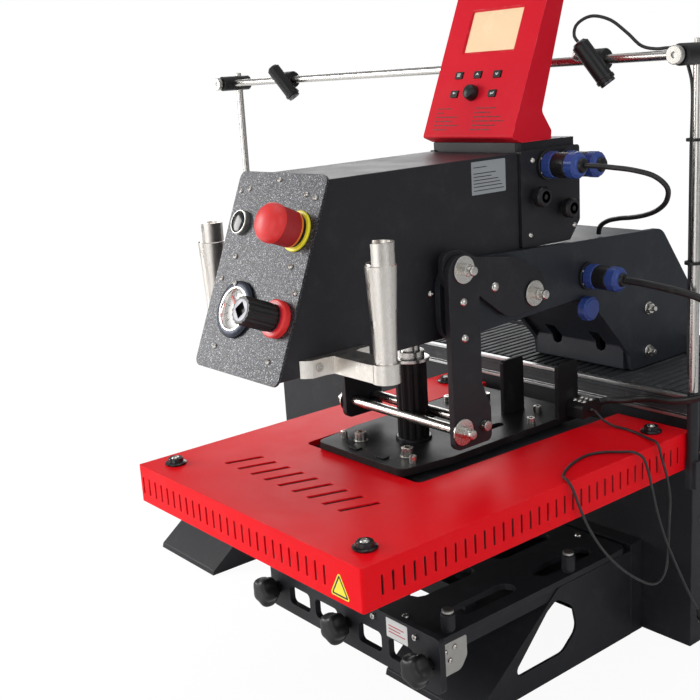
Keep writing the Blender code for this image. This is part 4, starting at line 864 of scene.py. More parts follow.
solid(
    "gauge_body", "steel",
    lambda bm: add_turned(bm, [(-36, 25.0), (GAP, 26.0), (GAP, 31.0), (3.0, 31.0), (4.4, 29.6), (5.2, 26.0), (5.2, 24.2)],
                          panel_point(*GAUGE_UV), PANEL_OUT, 32),
    cuts=[lambda bm: add_turned(bm, [(-1.0, 23.6), (12, 23.6)], panel_point(*GAUGE_UV), PANEL_OUT, 32)],
)
NEEDLE_TILT = math.radians(45)


def needle(bm):
    c, s = math.cos(NEEDLE_TILT), math.sin(NEEDLE_TILT)
    def turned(p):
        return (GAUGE_UV[0] + p[0] * c - p[1] * s, GAUGE_UV[1] + p[0] * s + p[1] * c)
    on_plane(panel_point, [turned(p) for p in ((-1.4, -6.0), (1.4, -6.0), (0.9, 19.0), (-0.9, 19.0))], (0.6, 1.4))(bm)


solid("gauge_needle", "needle_red", needle, origin=panel_point(*GAUGE_UV),
      joins=[lambda bm: add_turned(bm, [(-0.6, 3.0), (2.6, 3.0)], panel_point(*GAUGE_UV), PANEL_OUT, 16)])
solid("regulator_body", "estop_red",
      lambda bm: add_turned(bm, [(-62, 13.0), (-22, 13.0), (-22, 14.0), (GAP, 14.0), (GAP, 19.6), (7.6, 20.0), (9.2, 18.6)],
                            panel_point(*REG_UV), PANEL_OUT, 30))
# ================================================================ controller
CTRL_SIDE = [(389.0, 352.6), (440.0, 352.6), (441.0, 363.0), (424.6, 386.0), (478.0, 544.6)]


def controller_outline():
    foot, top = ctrl_point(0, 0), ctrl_point(0, 200.0)
    return rounded([(foot.y, foot.z)] + CTRL_SIDE + [(top.y, top.z)], [3, 2, 2, 3, 8, 6, 3], 3)


CTRL_BUTTONS = {"menu": (-37.0, 78.5), "up": (-5.8, 78.5), "down": (26.0, 78.0), "back": (-37.5, 55.0), "enter": (25.5, 54.5)}
ENCODER_UV = (-6.5, 55.0)


def ctrl_cuts(bm):
    on_plane(ctrl_point, rect(-42.5, 42.5, 106.0, 161.5), (-4.0, 5.0))(bm)
    for u, v in CTRL_BUTTONS.values():
        on_plane(ctrl_point, rect(u - 6.3, u + 6.3, v - 4.6, v + 4.6), (-5.0, 5.0))(bm)
    add_turned(bm, [(-8, 4.3), (6, 4.3)], ctrl_point(*ENCODER_UV), CTRL_OUT, 18)


solid(
    "controller_housing", "red_coat",
    lambda bm: add_prism(bm, yz(controller_outline()), (-216.5 - 74.5, 0, 0), (149, 0, 0)),
    cuts=[ctrl_cuts,
          lambda bm: add_prism(bm, yz([(380.8, 366.6), (421.0, 366.6), (420.0, 386.0), (424.4, 397.5), (469.5, 532.0),
                                        (452.4, 533.9)]),
                               (-285, 0, 0), (137, 0, 0)),
          lambda bm: add_box(bm, (-275, -158), (394, 416), (340, 372))],
)
for name, (u, v) in CTRL_BUTTONS.items():
    solid(f"button_{name}", "black_plastic",
          on_plane(ctrl_point, rect(u - 6.0, u + 6.0, v - 4.3, v + 4.3, 1.4, 3), (-3.2, 1.5)), origin=ctrl_point(u, v))
solid("encoder_knob", "black_plastic",
      lambda bm: add_turned(bm, [(-6, 4.0), (0.5, 4.0), (0.5, 9.6), (6, 9.4), (9.6, 8.0), (11.6, 5.0), (12.2, 0)],
                            ctrl_point(*ENCODER_UV), CTRL_OUT, 24), origin=ctrl_point(*ENCODER_UV))
# ================================================================ rear bracket between the arm and the riser
solid(
    "rear_bracket", "dark_coat",
    lambda bm: add_prism(bm, yz(rounded([(384.0, 231.0), (440.0, 229.0), (470.0, 229.0), (489.0, 252.0), (489.0, 342.9),
                                         (384.0, 342.9)], [2, 0, 4, 6, 4, 2], 3)), (HEAD_CX + 67.5, 0, 0), (8.0, 0, 0)),
    joins=[
        lambda bm: add_prism(bm, yz(rounded([(384.0, 231.0), (440.0, 229.0), (470.0, 229.0), (489.0, 252.0), (489.0, 342.9),
                                             (384.0, 342.9)], [2, 0, 4, 6, 4, 2], 3)), (HEAD_CX - 75.5, 0, 0), (8.0, 0, 0)),
        lambda bm: add_box(bm, (HEAD_CX - 74, HEAD_CX + 74), (392.0, 400.0), (230.0, 342.9)),
        lambda bm: add_prism(bm, xy(rect(-291.0, -146.0, 387.0, 489.0, 6.0, 3)), (0, 0, 341.0), (0, 0, 11.2)),
        lambda bm: add_box(bm, (HEAD_CX - 74, HEAD_CX + 74), (392.0, 462.0), (229.2, 236.0)),
        lambda bm: add_turned(bm, [(0, 5), (10, 5), (10, 10), (19, 10), (20, 9)], (HEAD_CX + 73, 407.0, 289.0), (1, 0, 0), 16),
        lambda bm: add_turned(bm, [(0, 5), (10, 5), (10, 10), (19, 10), (20, 9)], (HEAD_CX + 73, 457.0, 270.0), (1, 0, 0), 16),
    ],
)

# ================================================================ electrical connectors
LOW_CONN = (HEAD_CX + ARM_OUT + GAP, 493.0, 181.0)
UP_CONN = (HEAD_CX + 75.5 + GAP, 428.0, 324.0)

# ================================================================ handles
def handle(side, x):
    """A tapered grip standing on a flat bar that is bolted to the head's side by its wide foot."""
    cone = [(0, 14.5), (20.0, 14.5), (20.3, 12.0), (21.5, 11.6), (60, 12.9), (117.3, 15.8), (118.0, 14.6), (140.0, 14.6)]
    y, z0 = 101.0, 144.0
    out = 1 if x > HEAD_CX else -1
    face = HEAD_CX + (HEAD_HALF + GAP) * out
    reach = abs(x - face)
    plan = [(0, 51), (4.7, 54), (9.7, 60.5), (9.7, 77), (12.2, 86.2), (reach - 3, 86.2), (reach - 3, 115.8), (12.2, 115.8),
            (9.7, 124), (9.7, 136), (0, 136)]
    solid(f"handle_{side}", "satin_aluminium", lambda bm: add_turned(bm, cone, (x, y, z0), (0, 0, 1), 28),
          joins=[lambda bm: add_prism(bm, xy([(face + out * t, v) for t, v in plan]), (0, 0, 145.0), (0, 0, 18.6))],
          cuts=[lambda bm: add_turned(bm, [(0, 11.5), (60, 11.5)], (x, y, z0 + 100.0), (0, 0, 1), 20),
                lambda bm: add_box(bm, (x - 22, x + 3.0), (y - 22, y + 3.0), (z0 + 120.0, z0 + 160.0))])


handle("right", HANDLE_X[1])
handle("left", HANDLE_X[0])

# ================================================================ platen
def cover_outline(inset):
    return rounded([(-COVER_W + inset, inset), (-inset, inset), (-inset, COVER_D - inset), (-COVER_W + inset, COVER_D - inset)],
                   max(3.0 - inset, 0.8), 3)


def cover_slots(bm):
    for k in range(FRONT_SLOTS):
        x = -412.0 + (412.0 - 57.4) * k / (FRONT_SLOTS - 1)
        add_prism(bm, xz(oblong(x, -24.5, SLOT_H, SLOT_W, False, 3)), (0, -6, 0), (0, 12, 0))
    for k in range(SIDE_SLOTS):
        y = 25.0 + (494.0 - 25.0) * k / (SIDE_SLOTS - 1)
        add_prism(bm, yz(oblong(y, -24.5, SLOT_H, SLOT_W, False, 3)), (-6, 0, 0), (12, 0, 0))


def cover_left_slots(bm):
    for k in range(SIDE_SLOTS):
        y = 25.0 + (494.0 - 25.0) * k / (SIDE_SLOTS - 1)
        add_prism(bm, yz(oblong(y, -24.5, SLOT_H, SLOT_W, False, 3)), (-COVER_W - 6, 0, 0), (12, 0, 0))


def cover_vents(bm):
    """A row of slanted louvres in the top, in front of the press post."""
    for k in range(9):
        x = -333.0 + 27.0 * k
        add_prism(bm, xy([(x - 11, 74), (x - 4, 74), (x + 11, 118), (x + 4, 118)]), (0, 0, -8), (0, 0, 16))


solid(
    "platen_cover", "red_coat",
    lambda bm: add_prism(bm, xy(cover_outline(0.0)), (0, 0, -COVER_H), (0, 0, COVER_H)),
    cuts=[
        lambda bm: add_prism(bm, xy(cover_outline(COVER_T)), (0, 0, -COVER_H - 10), (0, 0, COVER_H + 10 - COVER_T)),
        cover_slots, cover_left_slots, cover_vents,
        lambda bm: add_prism(bm, xy(rounded([(-325, 183), (-119, 183), (-107, 540), (-340, 540)], [8, 8, 0, 0], 3)),
                             (0, 0, -20), (0, 0, 40)),
    ],
)

def plate_outline():
    return rounded([(-297, 180), (-144, 180), (-132, 250), (-132, 478), (-309, 478), (-309, 250)], [11, 11, 20, 8, 8, 20], 4)


solid(
    "mounting_plate", "black_gloss",
    lambda bm: add_prism(bm, xy(plate_outline()), (0, 0, 1.0), (0, 0, 9.0)),
    joins=[
        # spacer down to the insulation pad
        lambda bm: add_box(bm, (-285, -156), (200, 470), (-8.7, 2.0)),
        lambda bm: add_prism(bm, yz(rounded([(432, 8), (470, 8), (470, 80), (432, 80)], [0, 0, 5, 5], 3)), (-136.5, 0, 0), (6, 0, 0)),
        lambda bm: add_prism(bm, yz(rounded([(402, 8), (440, 8), (440, 80), (402, 80)], [0, 0, 5, 5], 3)), (-200.0, 0, 0), (6, 0, 0)),
    ],
    cuts=[
        lambda bm: add_prism(bm, xy(oblong(-172, 344, 62, 12, along_x=False)), (0, 0, -15), (0, 0, 30)),
        lambda bm: add_prism(bm, xy(oblong(-262, 344, 62, 12, along_x=False)), (0, 0, -15), (0, 0, 30)),
    ],
)
solid("heater_terminal_block", "black_plastic",
      lambda bm: add_prism(bm, yz(rounded([(447, 10.3), (483, 10.3), (483, 30), (447, 30)], [0, 0, 8, 8], 4)), (-130.0, 0, 0), (24.7, 0, 0)),
      joins=[lambda bm: add_box(bm, (-130.2, -108), (447, 477.5), (9.9 + GAP + 0.1, 12)),])


def upright_outline():
    return rounded([(236, 24), (288, 24), (300, 14), (300, 70), (284, 96), (284, 241), (237, 241), (236, 96)],
                   [8, 0, 0, 10, 20, 20, 20, 10], 4)


def upright(sign):
    def build(bm):
        outline = rounded([(237, 22), (297, 22), (297, 62), (284, 92), (284, 243), (237, 243)], [10, 8, 14, 20, 21, 21], 4)
        x0 = HEAD_CX + (UPRIGHT_IN if sign > 0 else -UPRIGHT_OUT)
        add_prism(bm, yz(outline), (x0, 0, 0), (UPRIGHT_OUT - UPRIGHT_IN, 0, 0))
    return build


for side, sign in (("right", 1), ("left", -1)):
    base = HEAD_CX + sign * (LINK_IN + 0.4)
    solid(f"upright_{side}", "dark_coat", upright(sign),
          joins=[lambda bm, base=base, sign=sign: add_turned(
              bm, [(0, 6.0), (17.0, 6.0), (17.0, 15.0), (19.4, 15.0), (19.4, 8.6), (26.0, 8.6), (27.0, 7.6), (27.0, 5.0),
                   (30.0, 5.0), (31.0, 4.0)], (base, *TOP_PIN), (sign, 0, 0), 18)],
          cuts=[lambda bm: add_turned(bm, [(0, 6.3), (400, 6.3)], (HEAD_CX - 200, *LOW_PIN), (1, 0, 0), 18),
                lambda bm: add_turned(bm, [(0, 6.3), (400, 6.3)], (HEAD_CX - 200, LOW_PIN[0] + 34, LOW_PIN[1]), (1, 0, 0), 18)])
def rod_profile(half):
    return [(0, 5.0), (0.6, 6.0), (2 * half - 0.6, 6.0), (2 * half, 5.0)]


for name, dy in (("front", 0.0), ("rear", 34.0)):
    solid(f"cross_rod_{name}", "steel",
          lambda bm, dy=dy: add_turned(bm, rod_profile(108.0), (HEAD_CX - 108.0, LOW_PIN[0] + dy, LOW_PIN[1]), (1, 0, 0), 18))


def fluted(bm):
    count, base = 36, Vector((-217.0, 267.0, 10.3))
    rings = []
    for z, r0, r1 in ((0.0, 19.0, 17.2), (96.0, 19.0, 17.2)):
        ring = []
        for k in range(count):
            t = 2 * math.pi * k / count
            r = r0 if k % 3 else r1
            ring.append(bm.verts.new(base + Vector((r * math.cos(t), r * math.sin(t), z))))
        rings.append(ring)
    for k in range(count):
        j = (k + 1) % count
        bm.faces.new((rings[0][k], rings[0][j], rings[1][j], rings[1][k]))
    bm.faces.new(list(reversed(rings[0])))
    bm.faces.new(rings[1])


solid("press_post", "black_gloss", fluted,
      joins=[lambda bm: add_turned(bm, [(0, 15), (3, 15)], (-217.0, 267.0, 104.0), (0, 0, 1), 24)],
      # the cross rods lie in grooves in the post's flanks
      cuts=[lambda bm: [add_turned(bm, [(0, 6.4), (120, 6.4)], (-277.0, LOW_PIN[0] + dy, LOW_PIN[1]), (1, 0, 0), 18)
                        for dy in (0.0, 34.0)]])
solid("piston_rod", "steel",
      lambda bm: add_turned(bm, [(0, 23.0), (4.0, 23.0), (4.0, 17.0), (12.0, 17.0), (12.0, 12.0), (113.0, 12.0)],
                            (-217.0, 267.0, 107.4), (0, 0, 1), 24))

# ================================================================ links
def link(sign):
    """A wide cranked plate from the arm's pivot to the press pin, with a hollow-curved lower edge."""
    dy, dz = TOP_PIN[0] - ARM_PIVOT[0], TOP_PIN[1] - ARM_PIVOT[1]
    length = math.hypot(dy, dz)
    along = Vector((dy / length, dz / length))
    across = Vector((-along.y, along.x))
    def place(a, b):
        p = Vector(ARM_PIVOT) + along * a + across * b
        return (p.x, p.y)
    def build(bm):
        outline = rounded([(238, 204), (238, 248), (264, 248), (290, 236), (352, 227), (405, 199), (405, 158), (338, 158),
                           (300, 186), (276, 204)], [20, 20, 8, 10, 22, 22, 22, 26, 30, 8], 4)
        x0 = HEAD_CX + (LINK_IN if sign > 0 else -LINK_OUT)
        add_prism(bm, yz(outline), (x0, 0, 0), (LINK_OUT - LINK_IN, 0, 0))
    def slot(bm):
        outline = []
        for k in range(9):
            t = math.pi * (-0.5 + k / 8)
            outline.append(place(133.0 + 8.2 * math.cos(t), 8.2 * math.sin(t)))
        for k in range(9):
            t = math.pi * (0.5 + k / 8)
            outline.append(place(122.4 + 8.2 * math.cos(t), 8.2 * math.sin(t)))
        add_prism(bm, yz(outline), (HEAD_CX - 200, 0, 0), (400, 0, 0))
    return build, slot


for side, sign in (("right", 1), ("left", -1)):
    build, slot = link(sign)
    solid(f"link_{side}", "dark_coat", build, cuts=[slot, pivot_hole], origin=(HEAD_CX + sign * LINK_IN, *ARM_PIVOT))

# ================================================================ fasteners and small turned parts
def ring_of(bm, centre, axis, r, sides, hexagonal=False, turn=0.0):
    axis = Vector(axis).normalized()
    side = axis.orthogonal().normalized()
    other = axis.cross(side)
    out = []
    for k in range(sides):
        t = 2 * math.pi * k / sides
        reach = r * math.cos(math.pi / 6) / math.cos((t % (math.pi / 3)) - math.pi / 6) if hexagonal else r
        out.append(bm.verts.new(Vector(centre) + (side * math.cos(t + turn) + other * math.sin(t + turn)) * reach))
    return out


def turned(bm, profile, base, axis, sides=24, turn=0.0):
    """Closed solid of revolution; a profile entry (along, r, True) is a hexagon of that corner radius."""
    axis = Vector(axis).normalized()
    rings = []
    for entry in profile:
        along, r = entry[0], entry[1]
        centre = Vector(base) + axis * along
        if r <= 1e-6:
            rings.append([bm.verts.new(centre)])
        else:
            rings.append(ring_of(bm, centre, axis, r, sides, len(entry) > 2 and entry[2], turn))
    for a, b in zip(rings, rings[1:]):
        for k in range(sides):
            j = (k + 1) % sides
            if len(a) == 1 and len(b) == 1:
                continue
            if len(a) == 1:
                bm.faces.new((a[0], b[k], b[j]))
            elif len(b) == 1:
                bm.faces.new((a[k], a[j], b[0]))
            else:
                bm.faces.new((a[k], a[j], b[j], b[k]))
    for ring, flip in ((rings[0], True), (rings[-1], False)):
        if len(ring) > 1:
            bm.faces.new(list(reversed(ring)) if flip else ring)


def annulus(bm, profile, base, axis, sides=64):
    """Ring: a closed (along, radius) profile swept once round the axis."""
    axis = Vector(axis).normalized()
    rings = [ring_of(bm, Vector(base) + axis * along, axis, r, sides) for along, r in profile]
    for a, b in zip(rings, rings[1:] + rings[:1]):
        for k in range(sides):
            j = (k + 1) % sides
            bm.faces.new((a[k], a[j], b[j], b[k]))


def washer(bm, base, axis, r, thick=1.6):
    turned(bm, [(0, r - 0.3), (0.3, r), (thick - 0.3, r), (thick, r - 0.4)], base, axis, 40)


def cap_screw(bm, base, axis, r, height, drive=0.5):
    """Socket cap screw: knurled-height head with a hexagon recess."""
    turned(bm, [(0, r), (height - 0.5, r), (height, r - 0.5), (height, r * drive + 0.2, True), (height - 0.2, r * drive, True),
                (height * 0.45, r * drive, True), (height * 0.40, 0)], base, axis, 36)


def dome_screw(bm, base, axis, r, height, drive=0.42):
    turned(bm, [(0, r), (height * 0.25, r), (height * 0.62, r * 0.86), (height * 0.9, r * 0.62), (height, r * drive + 0.12, True),
                (height * 0.96, r * drive, True), (height * 0.45, r * drive, True), (height * 0.40, 0)], base, axis, 30)


def hex_nut(bm, base, axis, r, height, bore, stud, turn=0.0):
    """Nut with chamfered corners and a stud standing out of it."""
    turned(bm, [(0, r, True), (height * 0.86, r, True), (height, r * 0.86), (height, bore + 0.3), (height - 0.5, bore), (height + stud - 0.8, bore),
                (height + stud, bore - 0.8), (height + stud, 0)], base, axis, 36, turn)


def group(name, material, body, builds, edge=0.0, origin=None, angle=38.0):
    """Several separate solids that belong together, as one piece."""
    def build(bm):
        for one in builds:
            one(bm)
    return piece(name, material, build, body, origin=origin, edge=edge, angle=angle)


def plate_on(place, outline, n0, n1):
    return on_plane(place, outline, (n0, n1))


X, Y, Z = Vector((1, 0, 0)), Vector((0, 1, 0)), Vector((0, 0, 1))

# ================================================================ cabinet and foot details
# dark rubber strip laid in the guide profile's recess: painted shade, standing for the shade between the two bright
# lips
group("guide_profile_inlay", "rubber", "root", [
    lambda bm: add_prism(bm, yz([(535.7, 13.4), (535.7, 31.8), (534.6, 31.4), (534.6, 27.0), (535.2, 26.2), (535.2, 19.0), (534.6, 18.2),
                                 (534.6, 13.8)]), (CABINET_X[0] + 1, 0, 0), (CABINET_X[1] - CABINET_X[0] - 2, 0, 0))])
group("cabinet_side_screws", "zinc_dull", "root", [
    lambda bm: [dome_screw(bm, (CABINET_X[1], y, z), X, 5.0, 2.8) for y in (562.0, 788.0) for z in (-270.0, -130.0, 8.0)],
    lambda bm: [dome_screw(bm, (CABINET_X[0], y, z), -X, 5.0, 2.8) for y in (562.0, 788.0) for z in (-270.0, -130.0, 8.0)]])
group("back_panel_screws", "zinc_dull", "root", [
    lambda bm: [dome_screw(bm, (x, 807.0, z), Y, 4.2, 2.2) for x in (-860.0, -650.0, -444.0, -238.0, -28.0) for z in (-284.0, 14.0)]])
group("rubber_pads", "rubber", "root", [
    lambda bm: [turned(bm, [(0, 15.0), (2.0, 16.0), (4.2, 16.0)], (x, y, FLOOR_Z + 0.02), Z, 30)
                for x in (-852.0, -36.0) for y in (566.0, 784.0)]])

# ================================================================ lower carrier details
def knob_shape(bm, x, z):
    """Soft five-lobed grip with a crowned face."""
    axis, side, other = -Y, X, Z
    count = 80
    rings = []
    for along, share, lobe in ((0.0, 0.70, 0.3), (1.2, 0.84, 0.6), (3.4, 0.94, 0.9), (8.0, 1.0, 1.0), (13.0, 1.0, 1.0), (17.0, 0.96, 1.0), (20.2, 0.87, 0.9),
                               (22.0, 0.74, 0.7), (22.9, 0.55, 0.4), (23.2, 0.30, 0.1)):
        ring = []
        for k in range(count):
            t = 2 * math.pi * k / count + 0.31
            r = (18.4 + 1.9 * math.cos(5 * t) * lobe) * share
            ring.append(bm.verts.new(Vector((x, 145.4, z)) + axis * along * 0.99 + (side * math.cos(t) + other * math.sin(t)) * r))
        rings.append(ring)
    for a, b in zip(rings, rings[1:]):
        for k in range(count):
            j = (k + 1) % count
            bm.faces.new((a[k], a[j], b[j], b[k]))
    bm.faces.new(list(reversed(rings[0])))
    bm.faces.new(rings[-1])


for side, x, z in zip(("left", "middle", "right"), KNOB_X, KNOB_Z):
    knob = piece(f"star_knob_{side}_grip", "black_plastic", lambda bm, x=x, z=z: knob_shape(bm, x, z), f"star_knob_{side}",
                 joins=[lambda bm, x=x, z=z: turned(bm, [(0, 9.0), (9.0, 8.0)], (x, 144.9, z), Y, 36)],
                 origin=(x, 146.0, z), edge=0.3, replaces=(f"star_knob_{side}",))
    group(f"star_knob_{side}_stud", "zinc", f"star_knob_{side}", [
        lambda bm, x=x, z=z: turned(bm, [(0, 4.4), (0.5, 5.0), (17.6, 5.0), (18.2, 4.4)], (x, 153.8, z), Y, 24)])
    group(f"star_knob_{side}_washers", "zinc", "root", [
        lambda bm, x=x, z=z: turned(bm, [(0, 10.0), (1.4, 10.0), (1.4, 5.2), (0, 5.2)][:2] + [(1.5, 9.6)], (x, 162.9, z), Y, 32),
        lambda bm, x=x, z=z: turned(bm, [(0, 8.4, True), (5.0, 8.4, True), (5.6, 7.6)], (x, 164.5, z), Y, 36)])

group("carrier_latch_plate", "zinc_dull", "root", [
    lambda bm: add_prism(bm, yz(rounded([(165, -177.3), (207, -177.3), (207, -203), (197, -217), (167, -217)], [1, 3, 10, 12, 3], 4)),
                         (-80.2, 0, 0), (2.4, 0, 0))], edge=0.35)
group("carrier_latch_screws", "zinc", "root", [
    lambda bm: [dome_screw(bm, (-77.8, y, z), X, 3.6, 2.6) for y, z in ((173.5, -187.0), (187.5, -185.0), (180.0, -199.0))]])
group("carrier_plate_bolts", "zinc", "root", [
    lambda bm: [dome_screw(bm, (x, y, -169.0), Z, 4.6, 3.0) for x in (-310.0, -228.5, -146.0) for y in (176.0, 486.0)],
    lambda bm: [cap_screw(bm, (x, 153.9, -170.0), -Y, 3.6, 3.4) for x in (-352.0, -176.0, -104.0)]])
group("carrier_post_caps", "zinc_dull", "root", [
    lambda bm: [turned(bm, [(0, 6.2), (0.8, 6.9), (3.2, 6.9), (4.2, 5.6)], (x, y, -147.2), Z, 30)
                for x in (-88.0, -373.0) for y in (189.0, 396.0)]])
group("carrier_label", "label_white", "root", [
    lambda bm: add_prism(bm, xz(rect(-154.0, -118.0, -187.5, -163.5, 1.0, 3)), (0, 153.6, 0), (0, 0.35, 0))])
group("carrier_label_lines", "print_grey", "root", [
    lambda bm: [add_prism(bm, xz(rect(-150.0, x1, z - 0.7, z + 0.7, 0.3, 2)), (0, 153.45, 0), (0, 0.2, 0))
                for x1, z in ((-124.0, -172.0), (-130.0, -176.0), (-122.0, -180.0))]])
group("carrier_rails", "dark_coat", "root", [
    lambda bm: add_prism(bm, yz(rounded([(166, -180.2), (497, -180.2), (497, -177.3), (169, -177.3)], 0.6, 2)), (-380.0, 0, 0), (5.0, 0, 0)),
    lambda bm: add_prism(bm, xz(rounded([(-88.0, -196.0), (-85.0, -196.0), (-85.0, -177.4), (-88.0, -177.4)], 0.8, 2)), (0, 212.0, 0), (0, 273.0, 0)),
    lambda bm: add_prism(bm, xz(rounded([(-376.0, -196.0), (-373.0, -196.0), (-373.0, -177.4), (-376.0, -177.4)], 0.8, 2)), (0, 170.0, 0), (0, 315.0, 0)),
    lambda bm: add_prism(bm, yz([(286, -208.0), (306, -208.0), (306, -181.4), (286, -181.4)]), (-300.0, 0, 0), (140.0, 0, 0))], edge=0.5)

# ================================================================ gantry details
group("gantry_thumb_screws", "zinc_dull", "root", [
    lambda bm: [turned(bm, [(0, 3.6), (3.4, 3.6), (3.4, 9.4), (4.2, 10.2), (9.2, 10.2), (10.0, 9.4), (10.0, 3.4), (8.4, 3.2), (8.4, 0)],
                       (x, 476.8, 440.0), -Y, 40) for x in POST_X],
    lambda bm: [turned(bm, [(0, 4.6), (5.2, 4.6), (5.8, 4.0)], (x, 513.5, 451.0), Z, 30) for x in POST_X]], edge=0.2)
group("gantry_post_sleeves", "dark_coat", "root", [
    lambda bm: [turned(bm, [(0, 6.0), (0.8, 6.8), (121.0, 6.8), (122.0, 6.0)], (x, 513.5, -70.2), Z, 36) for x in POST_X],
    lambda bm: [add_prism(bm, xy(rounded([(x - 6.4, 507.6), (x + 9.4, 507.6), (x + 9.4, 604.4), (x - 6.4, 604.4)], 1.0, 2)), (0, 0, -68.4), (0, 0, 34.8)) for x in POST_X[1:]]],
      edge=0.3)
group("gantry_clamps", "black_plastic", "root", [
    lambda bm: [turned(bm, [(0, 10.4), (1.6, 12.0), (54.4, 12.0), (56.0, 10.4)], (x, 477.0, 440.0), Y, 48) for x in POST_X]],
      edge=0.3)
for side, x in LASER_X.items():
    nose = Vector((x + 3.0, ROD_Y - 17.0, ROD_Z - 2.0))
    group(f"laser_{side}_lens_ring", "dark_metal", f"laser_{side}", [
        lambda bm, nose=nose: turned(bm, [(27.6, 9.4), (30.0, 9.6), (31.4, 9.0), (31.4, 5.0), (30.0, 4.6), (30.0, 0)], nose, LASER_AIM, 40),
        lambda bm, nose=nose: turned(bm, [(-28.6, 6.4), (-28.0, 7.4), (-26.6, 8.2)], nose, LASER_AIM, 36)])
    group(f"laser_{side}_thumb_screw", "zinc_dull", f"laser_{side}", [
        lambda bm, x=x: turned(bm, [(16.6, 9.2), (17.4, 10.0), (24.8, 10.0), (25.6, 9.2), (25.6, 3.4), (24.2, 3.2), (24.2, 0)],
                               (x - 9.0, ROD_Y, ROD_Z), THUMB_AIM, 40)], edge=0.2)

# ================================================================ arm and bracket details
group("arm_bolts", "zinc", "carriage", [
    lambda bm: [hex_nut(bm, (HEAD_CX + sign * ARM_OUT, y, z), X * sign, 7.4, 5.4, 3.6, 6.0, 0.4)
                for sign in (1, -1) for y, z in ((620.0, 117.0), (620.0, 58.0), (716.0, 62.0))],
    lambda bm: [washer(bm, (HEAD_CX + sign * ARM_OUT, y, z), X * sign, 8.6, 1.0)
                for sign in (1, -1) for y, z in ((620.0, 117.0), (620.0, 58.0), (716.0, 62.0))]])
for side, sign in (("right", 1), ("left", -1)):
    group(f"link_{side}_bolt", "zinc", f"link_{side}", [
        lambda bm, sign=sign: dome_screw(bm, (HEAD_CX + sign * LINK_OUT, 318.0, 197.0), X * sign, 6.0, 3.4)])
group("arm_pivot_pins", "zinc", "carriage", [
    lambda bm: [turned(bm, [(0, 7.6), (0.4, 8.0), (17.4, 8.0)], (HEAD_CX + sign * (ARM_OUT - ARM_T + 1.0), *ARM_PIVOT), X * sign, 36) for sign in (1, -1)]])
group("arm_pivot_washers", "zinc", "carriage", [
    lambda bm: [washer(bm, (HEAD_CX + sign * (UPRIGHT_IN + 0.2), *ARM_PIVOT), X * sign, 15.4, 1.9) for sign in (1, -1)],
    lambda bm: [turned(bm, [(0, 6.9), (7.6, 6.9), (8.2, 6.3), (8.2, 4.7), (11.8, 4.7), (13.4, 5.6), (16.0, 5.6), (17.2, 4.6), (17.4, 0)],
                       (HEAD_CX + sign * (UPRIGHT_IN + 2.1), *ARM_PIVOT), X * sign, 32) for sign in (1, -1)]], edge=0.15)
group("bracket_thumb_knobs", "black_plastic", "carriage", [
    lambda bm: [turned(bm, [(0, 10.6), (2.0, 12.0), (9.0, 12.0), (11.2, 10.4), (12.0, 7.0), (12.0, 3.0), (11.0, 0)],
                       (HEAD_CX + 81.0, y, z), X, 40) for y, z in ((407.0, 289.0), (457.0, 270.0))]], edge=0.3)
group("bracket_screws", "zinc", "carriage", [
    lambda bm: [dome_screw(bm, (HEAD_CX + 75.5, y, z), X, 3.4, 2.4) for y, z in ((404.0, 331.0), (478.0, 246.0), (398.0, 244.0))]])
group("handle_screws", "zinc_dull", "carriage", [
    lambda bm: [cap_screw(bm, (HEAD_CX + sign * (HEAD_HALF + GAP + 9.5), 69.0, 155.0), X * sign, 4.6, 2.2) for sign in (1, -1)]], edge=0.15)
group("head_side_screws", "zinc", "carriage", [
    lambda bm: [dome_screw(bm, (HEAD_CX + sign * HEAD_HALF, 236.0, 201.0), X * sign, 3.6, 2.4) for sign in (1, -1)]])
group("rating_plate", "label_silver", "carriage", [
    lambda bm: add_prism(bm, yz(rect(306.0, 361.0, 301.0, 338.0, 1.2, 3)), (HEAD_CX + HEAD_HALF + 0.05, 0, 0), (0.5, 0, 0))], edge=0.15)
group("rating_plate_lines", "print_black", "carriage", [
    lambda bm: [add_prism(bm, yz(rect(309.0, y1, z - 0.45, z + 0.45)), (HEAD_CX + HEAD_HALF + 0.5, 0, 0), (0.18, 0, 0))
                for y1, z in ((330.0, 331.5), (345.0, 324.6), (338.0, 320.9), (349.0, 317.2), (352.0, 313.5), (355.0, 309.8), (358.0, 305.6))]])
group("arm_front_stop", "dark_coat", "carriage", [
    lambda bm: add_box(bm, (HEAD_CX + 50, HEAD_CX + 72), (386.5, 391.6), (240.0, 336.0))], edge=0.6)

# ================================================================ front panel details
SCREW_UV = ((-2, 210.5), (-69, 196), (-53, 199), (50, 197), (66, 194), (-48.5, 124), (53, 122), (-65, 98), (70, 96), (-30, 95.2), (-47, 24.6), (53, 23))
group("panel_screws", "zinc", "carriage", [
    lambda bm: [dome_screw(bm, panel_point(u, v, 5.2 if (u, v) == (-30, 95.2) else 0.0), PANEL_OUT, 2.9, 2.3) for u, v in SCREW_UV]])
group("gauge_dial", "dial_white", "carriage", [
    lambda bm: turned(bm, [(-0.95, 21.6), (-0.55, 21.6)], panel_point(*GAUGE_UV), PANEL_OUT, 64)])


def dial_marks(bm):
    for k in range(41):
        a = math.radians(225.0 - 270.0 * k / 40)
        long = 4.6 if k % 8 == 0 else (3.2 if k % 4 == 0 else 2.0)
        wide = 0.42 if k % 4 == 0 else 0.22
        c, s = math.cos(a), math.sin(a)
        outline = [(20.2, -wide), (20.2, wide), (20.2 - long, wide), (20.2 - long, -wide)]
        on_plane(panel_point, [(GAUGE_UV[0] + r * c - w * s, GAUGE_UV[1] + r * s + w * c) for r, w in outline], (-0.56, -0.42))(bm)


